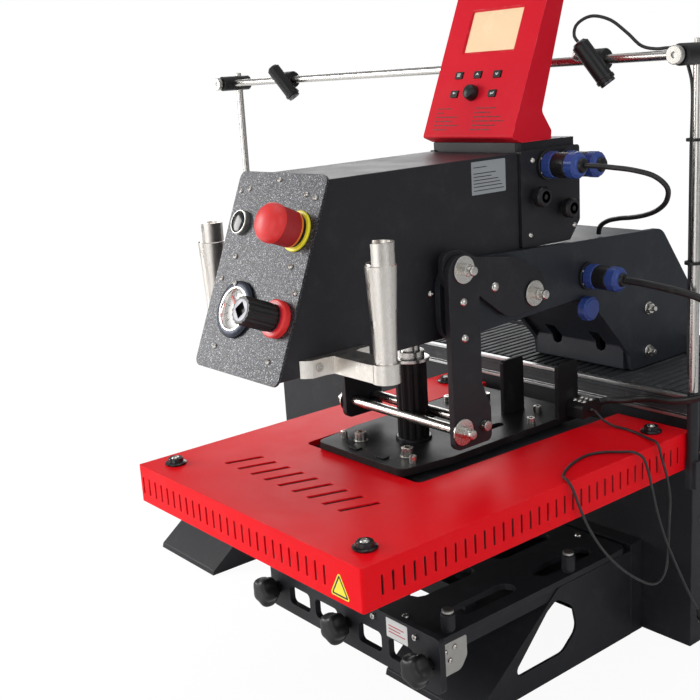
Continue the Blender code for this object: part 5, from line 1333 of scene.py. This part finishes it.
group("gauge_marks", "print_black", "carriage", [dial_marks])
group("gauge_inner_ring", "polished", "carriage", [
    lambda bm: annulus(bm, [(-0.9, 23.5), (4.9, 24.4), (5.9, 23.6), (5.9, 22.6), (3.0, 21.2), (-0.9, 21.0)], panel_point(*GAUGE_UV), PANEL_OUT, 72)])
group("start_button_face", "black_shiny", "start_button", [
    lambda bm: turned(bm, [(3.7, 11.2), (4.9, 11.2), (5.6, 10.2), (6.3, 6.6), (6.6, 3.0), (6.65, 0)], panel_point(*START_UV), PANEL_OUT, 48)])
group("start_button_ring", "zinc_dull", "carriage", [
    lambda bm: annulus(bm, [(0.15, 11.75), (0.15, 13.6), (5.0, 13.5), (5.9, 12.8), (5.9, 12.2), (5.2, 11.75)], panel_point(*START_UV), PANEL_OUT, 64)])
group("estop_orange_ring", "orange_ring", "estop_button", [
    lambda bm: annulus(bm, [(7.3, 16.8), (7.3, 18.9), (9.0, 18.9), (9.3, 18.3), (9.3, 16.8)], panel_point(*ESTOP_UV), PANEL_OUT, 56)])
group("estop_neck", "black_plastic", "carriage", [
    lambda bm: annulus(bm, [(2.7, 17.4), (3.1, 17.3), (4.3, 15.6), (4.3, 9.0), (2.7, 9.0)], panel_point(*ESTOP_UV), PANEL_OUT, 48)])
group("estop_skirt", "estop_skirt", "estop_button", [
    lambda bm: annulus(bm, [(9.6, 18.0), (9.6, 18.95), (12.0, 19.2), (28.9, 19.7), (29.5, 19.5), (29.5, 18.4)], panel_point(*ESTOP_UV), PANEL_OUT, 64)])


def knurl(bm, base, axis, length, r, teeth, depth, start=0.0):
    axis = Vector(axis).normalized()
    side = axis.orthogonal().normalized()
    other = axis.cross(side)
    count = teeth * 4
    rings = []
    for along, share in ((0.0, 0.94), (length * 0.1, 1.0), (length * 0.9, 1.0), (length, 0.95)):
        ring = []
        for k in range(count):
            t = 2 * math.pi * k / count
            reach = (r if k % 4 in (0, 1) else r - depth) * share
            ring.append(bm.verts.new(Vector(base) + axis * (start + along) + (side * math.cos(t) + other * math.sin(t)) * reach))
        rings.append(ring)
    for a, b in zip(rings, rings[1:]):
        for k in range(count):
            j = (k + 1) % count
            bm.faces.new((a[k], a[j], b[j], b[k]))
    bm.faces.new(list(reversed(rings[0])))
    bm.faces.new(rings[-1])


piece("regulator_grip", "black_plastic", lambda bm: knurl(bm, panel_point(*REG_UV), PANEL_OUT, 37.2, 15.0, 16, 1.0, 11.0), "regulator_knob",
      joins=[lambda bm: turned(bm, [(9.8, 12.8), (13.0, 12.8)], panel_point(*REG_UV), PANEL_OUT, 40)],
      cuts=[on_plane(lambda u, v, n: panel_point(REG_UV[0] + (u - v) * 0.7071, REG_UV[1] + (u + v) * 0.7071, n), rect(-6.4, 6.4, -6.4, 6.4, 1.0, 2), (44.0, 60.0))],
      origin=panel_point(*REG_UV), edge=0.4, replaces=("regulator_knob",))
piece("regulator_tip", "dark_metal", lambda bm: turned(bm, [(48.0, 11.6), (48.5, 11.3)], panel_point(*REG_UV), PANEL_OUT, 48), "regulator_knob",
      cuts=[on_plane(lambda u, v, n: panel_point(REG_UV[0] + (u - v) * 0.7071, REG_UV[1] + (u + v) * 0.7071, n), rect(-6.4, 6.4, -6.4, 6.4, 1.0, 2), (44.0, 60.0))])
piece("regulator_ring", "ring_red", lambda bm: knurl(bm, panel_point(*REG_UV), PANEL_OUT, 6.4, 19.3, 26, 0.8, 0.4), "carriage",
      joins=[lambda bm: turned(bm, [(6.4, 17.6), (9.4, 16.6)], panel_point(*REG_UV), PANEL_OUT, 48)], edge=0.3)
group("regulator_collar", "black_plastic", "carriage", [
    lambda bm: turned(bm, [(9.2, 14.6), (10.6, 14.4)], panel_point(*REG_UV), PANEL_OUT, 48)])

# ================================================================ controller details
group("display_glass", "lcd_peach", "carriage", [
    plate_on(ctrl_point, rect(-41.5, 41.5, 107.0, 160.5, 1.0, 3), -3.9, -2.2)], edge=0.2)


def display_rim(bm):
    outer, inner = rect(-42.4, 42.4, 106.1, 161.4, 1.4, 3), rect(-40.4, 40.4, 108.1, 159.4, 1.0, 3)
    low = [bm.verts.new(ctrl_point(p.x, p.y, -2.1)) for p in outer], [bm.verts.new(ctrl_point(p.x, p.y, -2.1)) for p in inner]
    high = [bm.verts.new(ctrl_point(p.x, p.y, -0.1)) for p in outer], [bm.verts.new(ctrl_point(p.x, p.y, -1.6)) for p in inner]
    n = len(outer)
    for k in range(n):
        j = (k + 1) % n
        bm.faces.new((low[0][k], low[0][j], high[0][j], high[0][k]))
        bm.faces.new((high[0][k], high[0][j], high[1][j], high[1][k]))
        bm.faces.new((high[1][k], high[1][j], low[1][j], low[1][k]))
        bm.faces.new((low[1][k], low[1][j], low[0][j], low[0][k]))


group("display_rim", "controller_red", "carriage", [display_rim])


def glyphs(bm, name, u, v):
    """Small raised marks on the buttons: a menu bar set, two arrows, a return hook and a tick."""
    def stroke(points, wide=0.55):
        for p, q in zip(points, points[1:]):
            d = Vector((q[0] - p[0], q[1] - p[1])).normalized()
            s = Vector((-d.y, d.x)) * wide
            on_plane(ctrl_point, [(u + p[0] + s.x, v + p[1] + s.y), (u + q[0] + s.x, v + q[1] + s.y),
                                  (u + q[0] - s.x, v + q[1] - s.y), (u + p[0] - s.x, v + p[1] - s.y)], (1.45, 1.62))(bm)
    if name == "menu":
        for dv in (-1.6, 0.0, 1.6):
            stroke([(-2.6, dv), (2.6, dv)], 0.4)
    elif name == "up":
        stroke([(-2.0, -1.2), (0.0, 1.4)])
        stroke([(0.0, 1.4), (2.0, -1.2)])
    elif name == "down":
        stroke([(-2.0, 1.2), (0.0, -1.4)])
        stroke([(0.0, -1.4), (2.0, 1.2)])
    elif name == "back":
        stroke([(2.4, 0.9), (-1.8, 0.9)])
        stroke([(-1.8, 0.9), (-0.4, 2.2)])
        stroke([(-1.8, 0.9), (-0.4, -0.4)])
    else:
        stroke([(2.4, 1.6), (2.4, -0.6)])
        stroke([(2.4, -0.6), (-1.8, -0.6)])
        stroke([(-1.8, -0.6), (-0.6, 0.6)])
        stroke([(-1.8, -0.6), (-0.6, -1.8)])


for name, (u, v) in CTRL_BUTTONS.items():
    group(f"button_{name}_mark", "print_white", f"button_{name}", [lambda bm, name=name, u=u, v=v: glyphs(bm, name, u, v)])


def printed_lines(bm):
    for u0, widths in ((-60.0, (22, 12, 38, 30, 41, 26)), (4.0, (34, 26, 44, 50, 40, 32))):
        for k, wide in enumerate(widths):
            v = 36.6 - 5.3 * k
            u = u0
            while u < u0 + wide:
                step = 4.6 if (int(u * 7) + k) % 3 else 7.0
                end = min(u + step - 1.3, u0 + wide)
                if end - u > 0.8:
                    on_plane(ctrl_point, [(u, v - 0.62), (end, v - 0.62), (end, v + 0.62), (u, v + 0.62)], (0.02, 0.14))(bm)
                u += step


group("controller_label_lines", "print_black", "carriage", [printed_lines])
group("controller_base_gasket", "dark_coat", "carriage", [
    lambda bm: add_prism(bm, xy(rect(-290.0, -147.0, 390.0, 470.0, 4.0, 3)), (0, 0, 352.25), (0, 0, 0.3))])

# ================================================================ connectors
def ribs_ring(bm, base, a, b, r, teeth=10):
    """Coupling ring with broad finger grips, along +X."""
    count = teeth * 8
    rings = []
    for along, share in ((a, 0.93), (a + 0.8, 1.0), (b - 0.8, 1.0), (b, 0.94)):
        ring = []
        for k in range(count):
            t = 2 * math.pi * k / count
            reach = (r - 0.55 * max(0.0, math.cos(teeth * t)) ** 0.5) * share
            ring.append(bm.verts.new(Vector(base) + X * along + (Y * math.cos(t) + Z * math.sin(t)) * reach))
        rings.append(ring)
    for p, q in zip(rings, rings[1:]):
        for k in range(count):
            j = (k + 1) % count
            bm.faces.new((p[k], p[j], q[j], q[k]))
    bm.faces.new(list(reversed(rings[0])))
    bm.faces.new(rings[-1])


def connector_set(name, base, node=None, lead=4.5):
    base = Vector(base)
    group(f"{name}_rings", "connector_blue", "carriage", [
        lambda bm: ribs_ring(bm, base, 4.2, 17.0, 15.6),
        lambda bm: ribs_ring(bm, base, 36.5, 49.0, 15.2),
        lambda bm: turned(bm, [(49.0, 14.0), (50.6, 13.2), (52.4, 10.8), (53.0, 9.4)], base, X, 40)], edge=0.3)
    body = group(f"{name}_body", "black_plastic", "carriage", [
        lambda bm: turned(bm, [(0, 16.8), (0.6, 17.4), (3.6, 17.4), (4.2, 16.4), (4.2, 12.0), (17.0, 12.0), (17.0, 14.2), (18.0, 14.8), (35.5, 14.8), (36.5, 14.0),
                               (36.5, 12.0), (49.0, 12.0), (52.9, 8.6), (56.4, 7.6), (57.4, lead + 0.9)], base, X, 48)], edge=0.25)
    if node:
        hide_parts(node)
    group(f"{name}_flange_screws", "zinc_dull", "carriage", [
        lambda bm: [dome_screw(bm, base + Vector((3.4, dy, dz)), X, 1.7, 1.2) for dy in (-12.6, 12.6) for dz in (-8.0, 8.0)]])
    return body


connector_set("power_plug", LOW_CONN, "power_connector", 4.5)
connector_set("signal_plug", UP_CONN, "signal_connector", 3.0)
connector_set("spare_plug", (UP_CONN[0], 462.5, 322.0), None, 3.0)
group("dust_cap", "connector_blue", "carriage", [
    lambda bm: ribs_ring(bm, (HEAD_CX + ARM_OUT + 1.6, 486.0, 141.5), 0.0, 11.0, 15.2, 8),
    lambda bm: turned(bm, [(10.8, 13.0), (12.2, 12.0), (12.4, 0)], (HEAD_CX + ARM_OUT + 1.6, 486.0, 141.5), X, 40)], edge=0.3)

# ================================================================ platen details
COVER_NUTS = [(x, y) for x in (-COVER_W + 33.0, -33.0) for y in (33.0, COVER_D - 33.0)]
group("cover_nuts", "black_shiny", "platen", [
    lambda bm: [turned(bm, [(0.05, 12.4), (0.9, 13.0), (2.2, 12.8), (3.0, 11.0), (3.4, 9.4), (7.2, 8.8), (7.8, 8.2), (7.8, 5.8), (6.0, 5.4), (6.0, 0)], (x, y, 0), Z, 44)
                for x, y in COVER_NUTS]])
group("cover_screws", "zinc", "platen", [
    lambda bm: [dome_screw(bm, (x, y, 6.1), Z, 5.2, 3.2) for x, y in COVER_NUTS]])


def notch(r=0.0):
    """The opening in the cover's top, grown by r."""
    return rounded([(-325 - r, 183 - r), (-119 + r, 183 - r), (-107 + r, 519.0), (-340 - r, 519.0)], [8 + r, 8 + r, 0, 0], 3)


def notch_flange(bm):
    """Folded edge that hangs down inside the opening."""
    points = [(-340.0, 517.6), (-325.0, 183.0), (-119.0, 183.0), (-107.0, 517.6)]
    def path(r):
        raw = [(-340.0 - r, 517.6), (-325.0 - r, 183.0 - r), (-119.0 + r, 183.0 - r), (-107.0 + r, 517.6)]
        out = rounded(raw, [0, 8 + r, 8 + r, 0], 3)
        return out
    inner, outer = path(0.35), path(2.2)
    for p, q in ((inner, outer),):
        top_i = [bm.verts.new((a.x, a.y, -2.05)) for a in p]
        top_o = [bm.verts.new((a.x, a.y, -2.05)) for a in q]
        low_i = [bm.verts.new((a.x, a.y, -8.4)) for a in p]
        low_o = [bm.verts.new((a.x, a.y, -8.4)) for a in q]
        n = len(p)
        for k in range(n - 1):
            bm.faces.new((top_i[k], top_i[k + 1], top_o[k + 1], top_o[k]))
            bm.faces.new((low_i[k], low_o[k], low_o[k + 1], low_i[k + 1]))
            bm.faces.new((top_i[k], low_i[k], low_i[k + 1], top_i[k + 1]))
            bm.faces.new((top_o[k], top_o[k + 1], low_o[k + 1], low_o[k]))
        bm.faces.new((top_i[0], top_o[0], low_o[0], low_i[0]))
        bm.faces.new((top_i[-1], low_i[-1], low_o[-1], top_o[-1]))


group("cover_notch_flange", "red_coat", "platen", [notch_flange])
group("heater_top_sheet", "rubber", "platen", [
    lambda bm: [add_prism(bm, xy(rounded([(-402, 18), (-18, 18), (-18, 196), (-402, 196)], 6, 3)), (0, 0, -8.95), (0, 0, 1.2)),
                add_prism(bm, xy(rounded([(-402, 200), (-288, 200), (-288, 502), (-402, 502)], 6, 3)), (0, 0, -8.95), (0, 0, 1.2)),
                add_prism(bm, xy(rounded([(-153, 200), (-18, 200), (-18, 502), (-153, 502)], 6, 3)), (0, 0, -8.95), (0, 0, 1.2))]],
      edge=0.3)
group("heater_press_face", "black_gloss", "platen", [
    lambda bm: add_prism(bm, xy(rounded([(-408, 12), (-12, 12), (-12, 508), (-408, 508)], 4, 3)), (0, 0, -46.25), (0, 0, 0.42))])

# blank yellow hazard triangle with a dark border on the front edge
TRI = [(-49.0, -40.5), (-18.5, -40.5), (-33.8, -13.5)]


def grown(points, by):
    cx, cy = sum(p[0] for p in points) / 3, sum(p[1] for p in points) / 3
    return [(cx + (p[0] - cx) * by, cy + (p[1] - cy) * by) for p in points]


group("hazard_triangle_base", "signal_yellow", "platen", [
    lambda bm: add_prism(bm, xz(rounded(grown(TRI, 1.0), 2.4, 5)), (0, -0.30, 0), (0, 0.26, 0))])


def tri_border(bm):
    outer, inner = rounded(grown(TRI, 0.84), 1.2, 4), rounded(grown(TRI, 0.64), 0.6, 4)
    n = len(outer)
    a = [bm.verts.new((p.x, -0.34, p.y)) for p in outer], [bm.verts.new((p.x, -0.34, p.y)) for p in inner]
    b = [bm.verts.new((p.x, -0.26, p.y)) for p in outer], [bm.verts.new((p.x, -0.26, p.y)) for p in inner]
    for k in range(n):
        j = (k + 1) % n
        bm.faces.new((a[0][k], a[0][j], a[1][j], a[1][k]))
        bm.faces.new((b[0][k], b[1][k], b[1][j], b[0][j]))
        bm.faces.new((a[0][k], b[0][k], b[0][j], a[0][j]))
        bm.faces.new((a[1][k], a[1][j], b[1][j], b[1][k]))


group("hazard_triangle_border", "print_black", "platen", [tri_border])

group("plate_screws", "zinc", "platen", [
    lambda bm: [cap_screw(bm, (x, y, 10.0), Z, 7.4, 11.0) for x, y in ((-173.0, 216.0), (-258.0, 217.0))],
    lambda bm: [cap_screw(bm, (x, y, 10.0), Z, 4.4, 8.0) for x, y in ((-152.5, 206.0), (-283.0, 211.0))],
    lambda bm: [cap_screw(bm, (x, y, 10.0), Z, 5.4, 7.0) for x, y in ((-172.0, 440.0), (-262.0, 440.0), (-146.0, 398.0), (-293.0, 398.0))]])
group("plate_washers", "zinc_dull", "platen", [
    lambda bm: [washer(bm, (x, y, 10.0), Z, 8.8, 1.0) for x, y in ((-173.0, 216.0), (-258.0, 217.0))]])
group("plate_side_tabs", "black_gloss", "platen", [
    lambda bm: [add_prism(bm, xy(rounded([(x - 8, 189), (x + 8, 189), (x + 8, 199), (x - 8, 199)], 2, 3)), (0, 0, 10.05), (0, 0, 1.8))
                for x in (-192.0, -240.0)]], edge=0.4)
group("terminal_screws", "zinc", "platen", [
    lambda bm: [dome_screw(bm, (x, y, 30.0), Z, 3.4, 2.2) for x in (-124.5, -117.5, -110.5) for y in (456.0, 469.0)]])
group("terminal_glands", "black_shiny", "platen", [
    lambda bm: turned(bm, [(0.1, 7.4, True), (3.4, 7.4, True), (3.8, 6.8), (7.0, 6.4), (7.6, 5.2)], (-115.5, 483.0, 20.0), Y, 36),
    lambda bm: turned(bm, [(0.1, 3.6), (2.4, 3.4), (5.2, 2.2)], (-105.2, 462.0, 20.0), X, 24)])
group("upright_bolts", "zinc", "platen", [
    lambda bm: [dome_screw(bm, (HEAD_CX + sign * UPRIGHT_OUT, 258.0, z), X * sign, 5.0, 3.6) for sign in (1, -1) for z in (191.0, 150.0)],
    lambda bm: [turned(bm, [(0, 6.6, True), (3.6, 6.6, True), (4.2, 5.8), (4.2, 3.4), (6.0, 3.2), (6.4, 2.6)], (HEAD_CX + sign * UPRIGHT_OUT, LOW_PIN[0] + 34, LOW_PIN[1]),
                       X * sign, 36) for sign in (1, -1)]])
group("press_pins", "zinc", "platen", [
    lambda bm: [turned(bm, [(0, 5.6), (0.4, 6.0), (17.0, 6.0)], (HEAD_CX + sign * (LINK_IN + 0.4), *TOP_PIN), X * sign, 36) for sign in (1, -1)]])
group("upright_pin_washers", "zinc", "platen", [
    lambda bm: [washer(bm, (HEAD_CX + sign * (UPRIGHT_OUT + 0.3), *TOP_PIN), X * sign, 15.6, 1.9) for sign in (1, -1)],
    lambda bm: [washer(bm, (HEAD_CX + sign * (UPRIGHT_OUT + 0.3), *LOW_PIN), X * sign, 15.4, 1.9) for sign in (1, -1)],
    lambda bm: [turned(bm, [(0, 6.9), (6.4, 6.9), (7.0, 6.3), (7.0, 4.7), (9.8, 4.7), (11.2, 5.6), (14.0, 5.6), (15.2, 4.6), (15.4, 0)],
                       (HEAD_CX + sign * (UPRIGHT_OUT + 2.2), *pin), X * sign, 32) for sign in (1, -1) for pin in (TOP_PIN, LOW_PIN)]],
      edge=0.15)
group("post_flange", "dark_metal", "platen", [
    lambda bm: turned(bm, [(0.02, 22.0), (2.4, 22.0), (3.4, 20.6), (3.4, 19.6)], (-217.0, 267.0, 10.0), Z, 64)])

# ================================================================ cords
def smooth_route(points, spacing):
    """Centripetal curve through the route's own points, read at an even spacing (mm)."""
    pts = [Vector(p) for p in points]
    pts = [pts[0] * 2 - pts[1]] + pts + [pts[-1] * 2 - pts[-2]]
    dense = []
    for i in range(1, len(pts) - 2):
        p0, p1, p2, p3 = pts[i - 1:i + 3]
        t0 = 0.0
        t1 = t0 + (p1 - p0).length ** 0.5
        t2 = t1 + (p2 - p1).length ** 0.5
        t3 = t2 + (p3 - p2).length ** 0.5
        for k in range(24):
            t = t1 + (t2 - t1) * k / 24
            a1 = p0 * ((t1 - t) / (t1 - t0)) + p1 * ((t - t0) / (t1 - t0))
            a2 = p1 * ((t2 - t) / (t2 - t1)) + p2 * ((t - t1) / (t2 - t1))
            a3 = p2 * ((t3 - t) / (t3 - t2)) + p3 * ((t - t2) / (t3 - t2))
            b1 = a1 * ((t2 - t) / (t2 - t0)) + a2 * ((t - t0) / (t2 - t0))
            b2 = a2 * ((t3 - t) / (t3 - t1)) + a3 * ((t - t1) / (t3 - t1))
            dense.append(b1 * ((t2 - t) / (t2 - t1)) + b2 * ((t - t1) / (t2 - t1)))
    dense.append(pts[-2])
    total = sum((b - a).length for a, b in zip(dense, dense[1:]))
    count = max(2, round(total / spacing))
    out, walked, target, step = [dense[0]], 0.0, total / count, total / count
    for a, b in zip(dense, dense[1:]):
        seg = (b - a).length
        while walked + seg >= target - 1e-9 and len(out) < count:
            out.append(a.lerp(b, (target - walked) / seg))
            target += step
        walked += seg
    out.append(dense[-1])
    return out


def length_of(points):
    return sum((b - a).length for a, b in zip(points, points[1:]))


def tube(name, points, diameter, material, sides=14):
    """A round tube along the points (datum mm), as a closed mesh in the model's frame."""
    bm = bmesh.new()
    tangents = [(points[min(i + 1, len(points) - 1)] - points[max(i - 1, 0)]).normalized() for i in range(len(points))]
    side = tangents[0].orthogonal().normalized()
    rings = []
    for p, t in zip(points, tangents):
        side = (side - t * side.dot(t)).normalized()
        other = t.cross(side)
        rings.append([bm.verts.new(p + (side * math.cos(a) + other * math.sin(a)) * diameter / 2)
                      for a in (2 * math.pi * k / sides for k in range(sides))])
    for a, b in zip(rings, rings[1:]):
        for k in range(sides):
            j = (k + 1) % sides
            bm.faces.new((a[k], a[j], b[j], b[k]))
    bm.faces.new(list(reversed(rings[0])))
    bm.faces.new(rings[-1])
    obj = finish_mesh(bm, name, material)
    obj.data.shade_smooth()
    obj.data.set_sharp_from_angle(angle=math.radians(60))
    return obj


def declare(points):
    tuple(world(points[0]))
    length_of(points) / 1000
    [tuple(world(p)) for p in points]


POWER_ROUTE = [
    (LOW_CONN[0] + 57.5 + GAP, 493.0, 181.0), (-55, 493, 180.5), (-30, 493.5, 178.5), (0, 495, 175), (28, 497, 169), (52, 500, 156),
    (68, 501, 134), (72, 501, 106), (62, 499.5, 80), (42, 498, 60), (14, 499, 47), (-16, 506, 38), (-52, 518, 31),
    (-80, 522.0, 24), (-98, 516.0, 20.5), (-112, 508, 20), (-115.4, 496, 20.0), (-115.5, 485.2, 20.0),
]
SIGNAL_ROUTE = [
    (UP_CONN[0] + 57.5 + GAP, 428.0, 324.0), (-68, 428.8, 323.8), (-48, 432.5, 322.3), (-26, 442, 318.8), (-9, 457, 311), (-3, 472, 297),
    (-12, 484, 281), (-32, 496, 268), (-58, 508, 259), (-86, 519, 253), (-112, 528, 249), (-136, 536, 243), (-151, 541, 234),
    (-154, 542.5, 225.2),
]
LEAD_ROUTE = [
    (-104.6, 462, 20.0), (-98.5, 462.0, 19.6), (-88, 464, 10), (-76, 468, 3.6), (-58, 471, 2.2), (-38, 467, 2.0), (-18, 459, 2.6),
    (-5, 452, 4.2), (1.5, 449, 4.2), (5.6, 448, 0), (7.4, 451, -14), (7.5, 462, -42), (7.0, 469, -72), (6.5, 468, -104), (7.0, 466, -134),
    (8.0, 461, -158), (8.0, 450, -169), (7.5, 436, -169), (7.0, 412, -156), (7.0, 378, -130), (7.0, 346, -98), (6.5, 320, -62),
    (6.5, 302, -28), (6.0, 293, -7), (1.5, 290, 2.8), (-8, 295, 2.6), (-18, 308, 2.2), (-27, 328, 2.1), (-33, 350, 2.1), (-34, 371, 2.2),
    (-26, 388, 2.4), (-12, 400, 2.6), (-1, 407, 3.2), (8.0, 413, -2), (11.0, 419, -18), (11.5, 427, -44), (11.5, 438, -78),
    (11.5, 452, -112), (11.5, 470, -146), (12, 489, -180), (13, 506, -210), (14, 520, -232),
]
power = smooth_route(POWER_ROUTE, 6.0)
cable = tube("power_cable_jacket", power, 9.0, "cable_jacket", 20)
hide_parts("power_cable")
tuple(world((0, 500, 135)))
tuple(world((0, 500, 34)))
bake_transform(cable)
declare(power)

signal = smooth_route(SIGNAL_ROUTE, 4.0)
cable = tube("signal_cable_jacket", signal, 6.0, "cable_jacket", 16)
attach(cable, "carriage")
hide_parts("signal_cable")
declare(signal)

lead = smooth_route(LEAD_ROUTE, 3.0)
first = next(i for i, p in enumerate(lead) if p.y > 405 and p.x > 4.0 and i > len(lead) * 0.55 and p.z < -4.0)
second = next(i for i, p in enumerate(lead) if i > first and p.z < -96.0)
parts = (lead[:first + 1], lead[first:second + 1], lead[second:])
lead_a = tube("sensor_lead_draped", parts[0], 3.2, "cable_jacket", 12)
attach(lead_a, "platen")
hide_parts("sensor_lead")
declare(parts[0])
lead_b = tube("sensor_lead_middle", parts[1], 3.2, "cable_jacket", 12)
tuple(world((0, 430, -6.0)))
tuple(world((0, 430, -94.0)))
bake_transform(lead_b)
declare(parts[1])
lead_c = tube("sensor_lead_end", parts[2], 3.2, "cable_jacket", 12)
tuple(world((0, 480, -100.0)))
tuple(world((0, 480, -226.0)))
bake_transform(lead_c)
PLUG_DIR = Vector((0.05, 0.537, -0.842)).normalized()
plug = group("sensor_plug_shell", "black_plastic", "root", [
    lambda bm: turned(bm, [(0.1, 2.2), (2.0, 2.9), (3.0, 3.2), (3.6, 2.9), (5.4, 3.3), (6.0, 3.6), (6.6, 3.3), (8.4, 3.7), (9.0, 4.0), (9.6, 3.7), (12.0, 4.2),
                           (12.6, 6.0), (14.0, 6.3), (26.0, 6.3), (27.0, 5.9), (28.0, 6.3), (33.4, 6.3), (34.6, 5.4)], Vector((14, 520, -232)) + PLUG_DIR * GAP,
                      PLUG_DIR, 36)], edge=0.15)
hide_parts("sensor_plug")
declare(parts[2])

LASER_LEAD = [
    (-127.1, 472.8, 461.8), (-130.4, 470.2, 468.0), (-128, 470.5, 480), (-112, 476, 489), (-92, 485, 484), (-74, 494, 468), (-58, 499, 452.5),
    (-40, 500, 448.0), (-22, 501, 448.0), (-10.5, 506, 446), (-8.5, 512, 436), (-5, 513.5, 424), (-0.9, 513.5, 408), (-0.9, 513.5, 330),
    (-0.9, 513.5, 240), (-0.9, 513.5, 150), (-1.2, 514.5, 92), (-4, 522, 66), (-10, 536, 52), (-16, 551, 45), (-18, 560, 38.2),
]
laser = smooth_route(LASER_LEAD, 4.0)
cable = tube("laser_lead_right", laser, 3.8, "cable_jacket", 14)
tuple(world((-127.0, 472.8, 462.0)))
tuple(world((-58.0, 499.0, 452.5)))
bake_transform(cable)
declare(laser)
group("laser_lead_grommet", "rubber", "root", [
    lambda bm: turned(bm, [(0, 5.6), (1.6, 5.4), (2.2, 4.4)], (-18.0, 560.0, 36.9), Z, 32)])
group("laser_lead_ties", "black_plastic", "root", [
    lambda bm: [annulus(bm, [(0, 8.4), (3.4, 8.4), (3.4, 10.3), (0, 10.3)], (4.6, 513.5, z), Z, 36) for z in (345.0, 205.0)]])

# ================================================================ floor and light
floor_mesh = bmesh.new()
bmesh.ops.create_grid(floor_mesh, x_segments=2, y_segments=2, size=14.0)
floor_data = bpy.data.meshes.new("floor")
floor_mesh.to_mesh(floor_data)
floor_mesh.free()
floor = bpy.data.objects.new("floor", floor_data)
floor.location = (0.0, 0.0, -0.0006)
scene.collection.objects.link(floor)
g = Graph("floor_paper")
g.link(g.mix(g.ramp(g.noise(1.6, 3.0), 0.3, 0.7), (0.90, 0.90, 0.90), (0.93, 0.93, 0.93)), g.shader.inputs["Base Color"])
g.link(g.ramp(g.noise(30.0, 3.0), 0.3, 0.7, 0.75, 0.9), g.shader.inputs["Roughness"])
g.shader.inputs["Specular IOR Level"].default_value = 0.1
# the paper burns out to white away from the model, as it does under a bright sweep
away = g.add("ShaderNodeVectorMath", operation="DISTANCE")
g.link(g.place, away.inputs[0])
away.inputs[1].default_value = (0.10, -0.40, 0.0)
burn = g.ramp(away.outputs["Value"], 0.50, 1.10, 0.92, 1.0)
seen_floor, glow, blend_floor = g.add("ShaderNodeLightPath"), g.add("ShaderNodeEmission"), g.add("ShaderNodeMixShader")
glow.inputs["Color"].default_value = (1.0, 1.0, 1.0, 1.0)
glow.inputs["Strength"].default_value = 1.02
g.link(g.math("MULTIPLY", seen_floor.outputs["Is Camera Ray"], burn), blend_floor.inputs["Fac"])
g.link(g.shader.outputs[0], blend_floor.inputs[1])
g.link(glow.outputs[0], blend_floor.inputs[2])
g.link(blend_floor.outputs[0], g.tree.nodes["Material Output"].inputs["Surface"])
floor_data.materials.append(g.material)


def softbox(name, at, aim, size, power, colour=(1.0, 1.0, 1.0), shape="RECTANGLE"):
    data = bpy.data.lights.new(name, "AREA")
    data.shape = shape
    data.size, data.size_y = size
    data.energy = power
    data.color = colour
    obj = bpy.data.objects.new(name, data)
    obj.location = at
    obj.rotation_euler = (Vector(at) - Vector(aim)).to_track_quat("Z", "Y").to_euler()
    scene.collection.objects.link(obj)
    return obj


MIDDLE = (0.15, -0.40, 0.35)
softbox("key_left", (-1.78, -1.92, 1.05), MIDDLE, (1.25, 1.25), 46.0, (1.0, 0.99, 0.97))
softbox("fill_front", (0.9, -2.7, 0.9), MIDDLE, (1.8, 1.6), 15.0, (1.0, 1.0, 1.0))
softbox("side_right", (2.3, -0.35, 1.15), MIDDLE, (1.2, 1.3), 9.0, (0.96, 0.98, 1.0))
softbox("sheen_back", (-1.85, 1.35, 1.25), MIDDLE, (1.5, 1.0), 15.0, (1.0, 1.0, 1.0))
softbox("top_soft", (0.1, -0.2, 2.5), MIDDLE, (1.6, 1.6), 9.0, (1.0, 1.0, 1.0))

sky = bpy.data.worlds.new("studio")
sky.use_nodes = True
scene.world = sky
nodes, links = sky.node_tree.nodes, sky.node_tree.links
for node in list(nodes):
    nodes.remove(node)
out = nodes.new("ShaderNodeOutputWorld")
seen, lit, mix, path = (nodes.new(k) for k in ("ShaderNodeBackground", "ShaderNodeBackground", "ShaderNodeMixShader", "ShaderNodeLightPath"))
seen.inputs["Color"].default_value = (1.0, 1.0, 1.0, 1.0)
seen.inputs["Strength"].default_value = 1.0
coordinate, split, height, ramp = (nodes.new(k) for k in ("ShaderNodeTexCoord", "ShaderNodeSeparateXYZ", "ShaderNodeMapRange", "ShaderNodeValToRGB"))
links.new(coordinate.outputs["Generated"], split.inputs["Vector"])
height.inputs["From Min"].default_value = -0.2
height.inputs["From Max"].default_value = 1.0
links.new(split.outputs["Z"], height.inputs["Value"])
links.new(height.outputs["Result"], ramp.inputs["Fac"])
ramp.color_ramp.elements[0].position = 0.0
ramp.color_ramp.elements[0].color = (0.30, 0.30, 0.31, 1.0)
ramp.color_ramp.elements[1].position = 1.0
ramp.color_ramp.elements[1].color = (0.95, 0.96, 0.98, 1.0)
links.new(ramp.outputs["Color"], lit.inputs["Color"])
lit.inputs["Strength"].default_value = 0.52
links.new(path.outputs["Is Camera Ray"], mix.inputs["Fac"])
links.new(lit.outputs[0], mix.inputs[1])
links.new(seen.outputs[0], mix.inputs[2])
links.new(mix.outputs[0], out.inputs["Surface"])

# carried-over nodes keep their solids, and take the same finishes
CARRIED = {"linear_rail": "steel", "heater_block": "rubber", "air_cylinder": "satin_aluminium"}
for name, look in CARRIED.items():
    node = frame["nodes"][name]
    for slot_index in range(len(node.data.materials)):
        node.data.materials[slot_index] = MATERIALS[look]
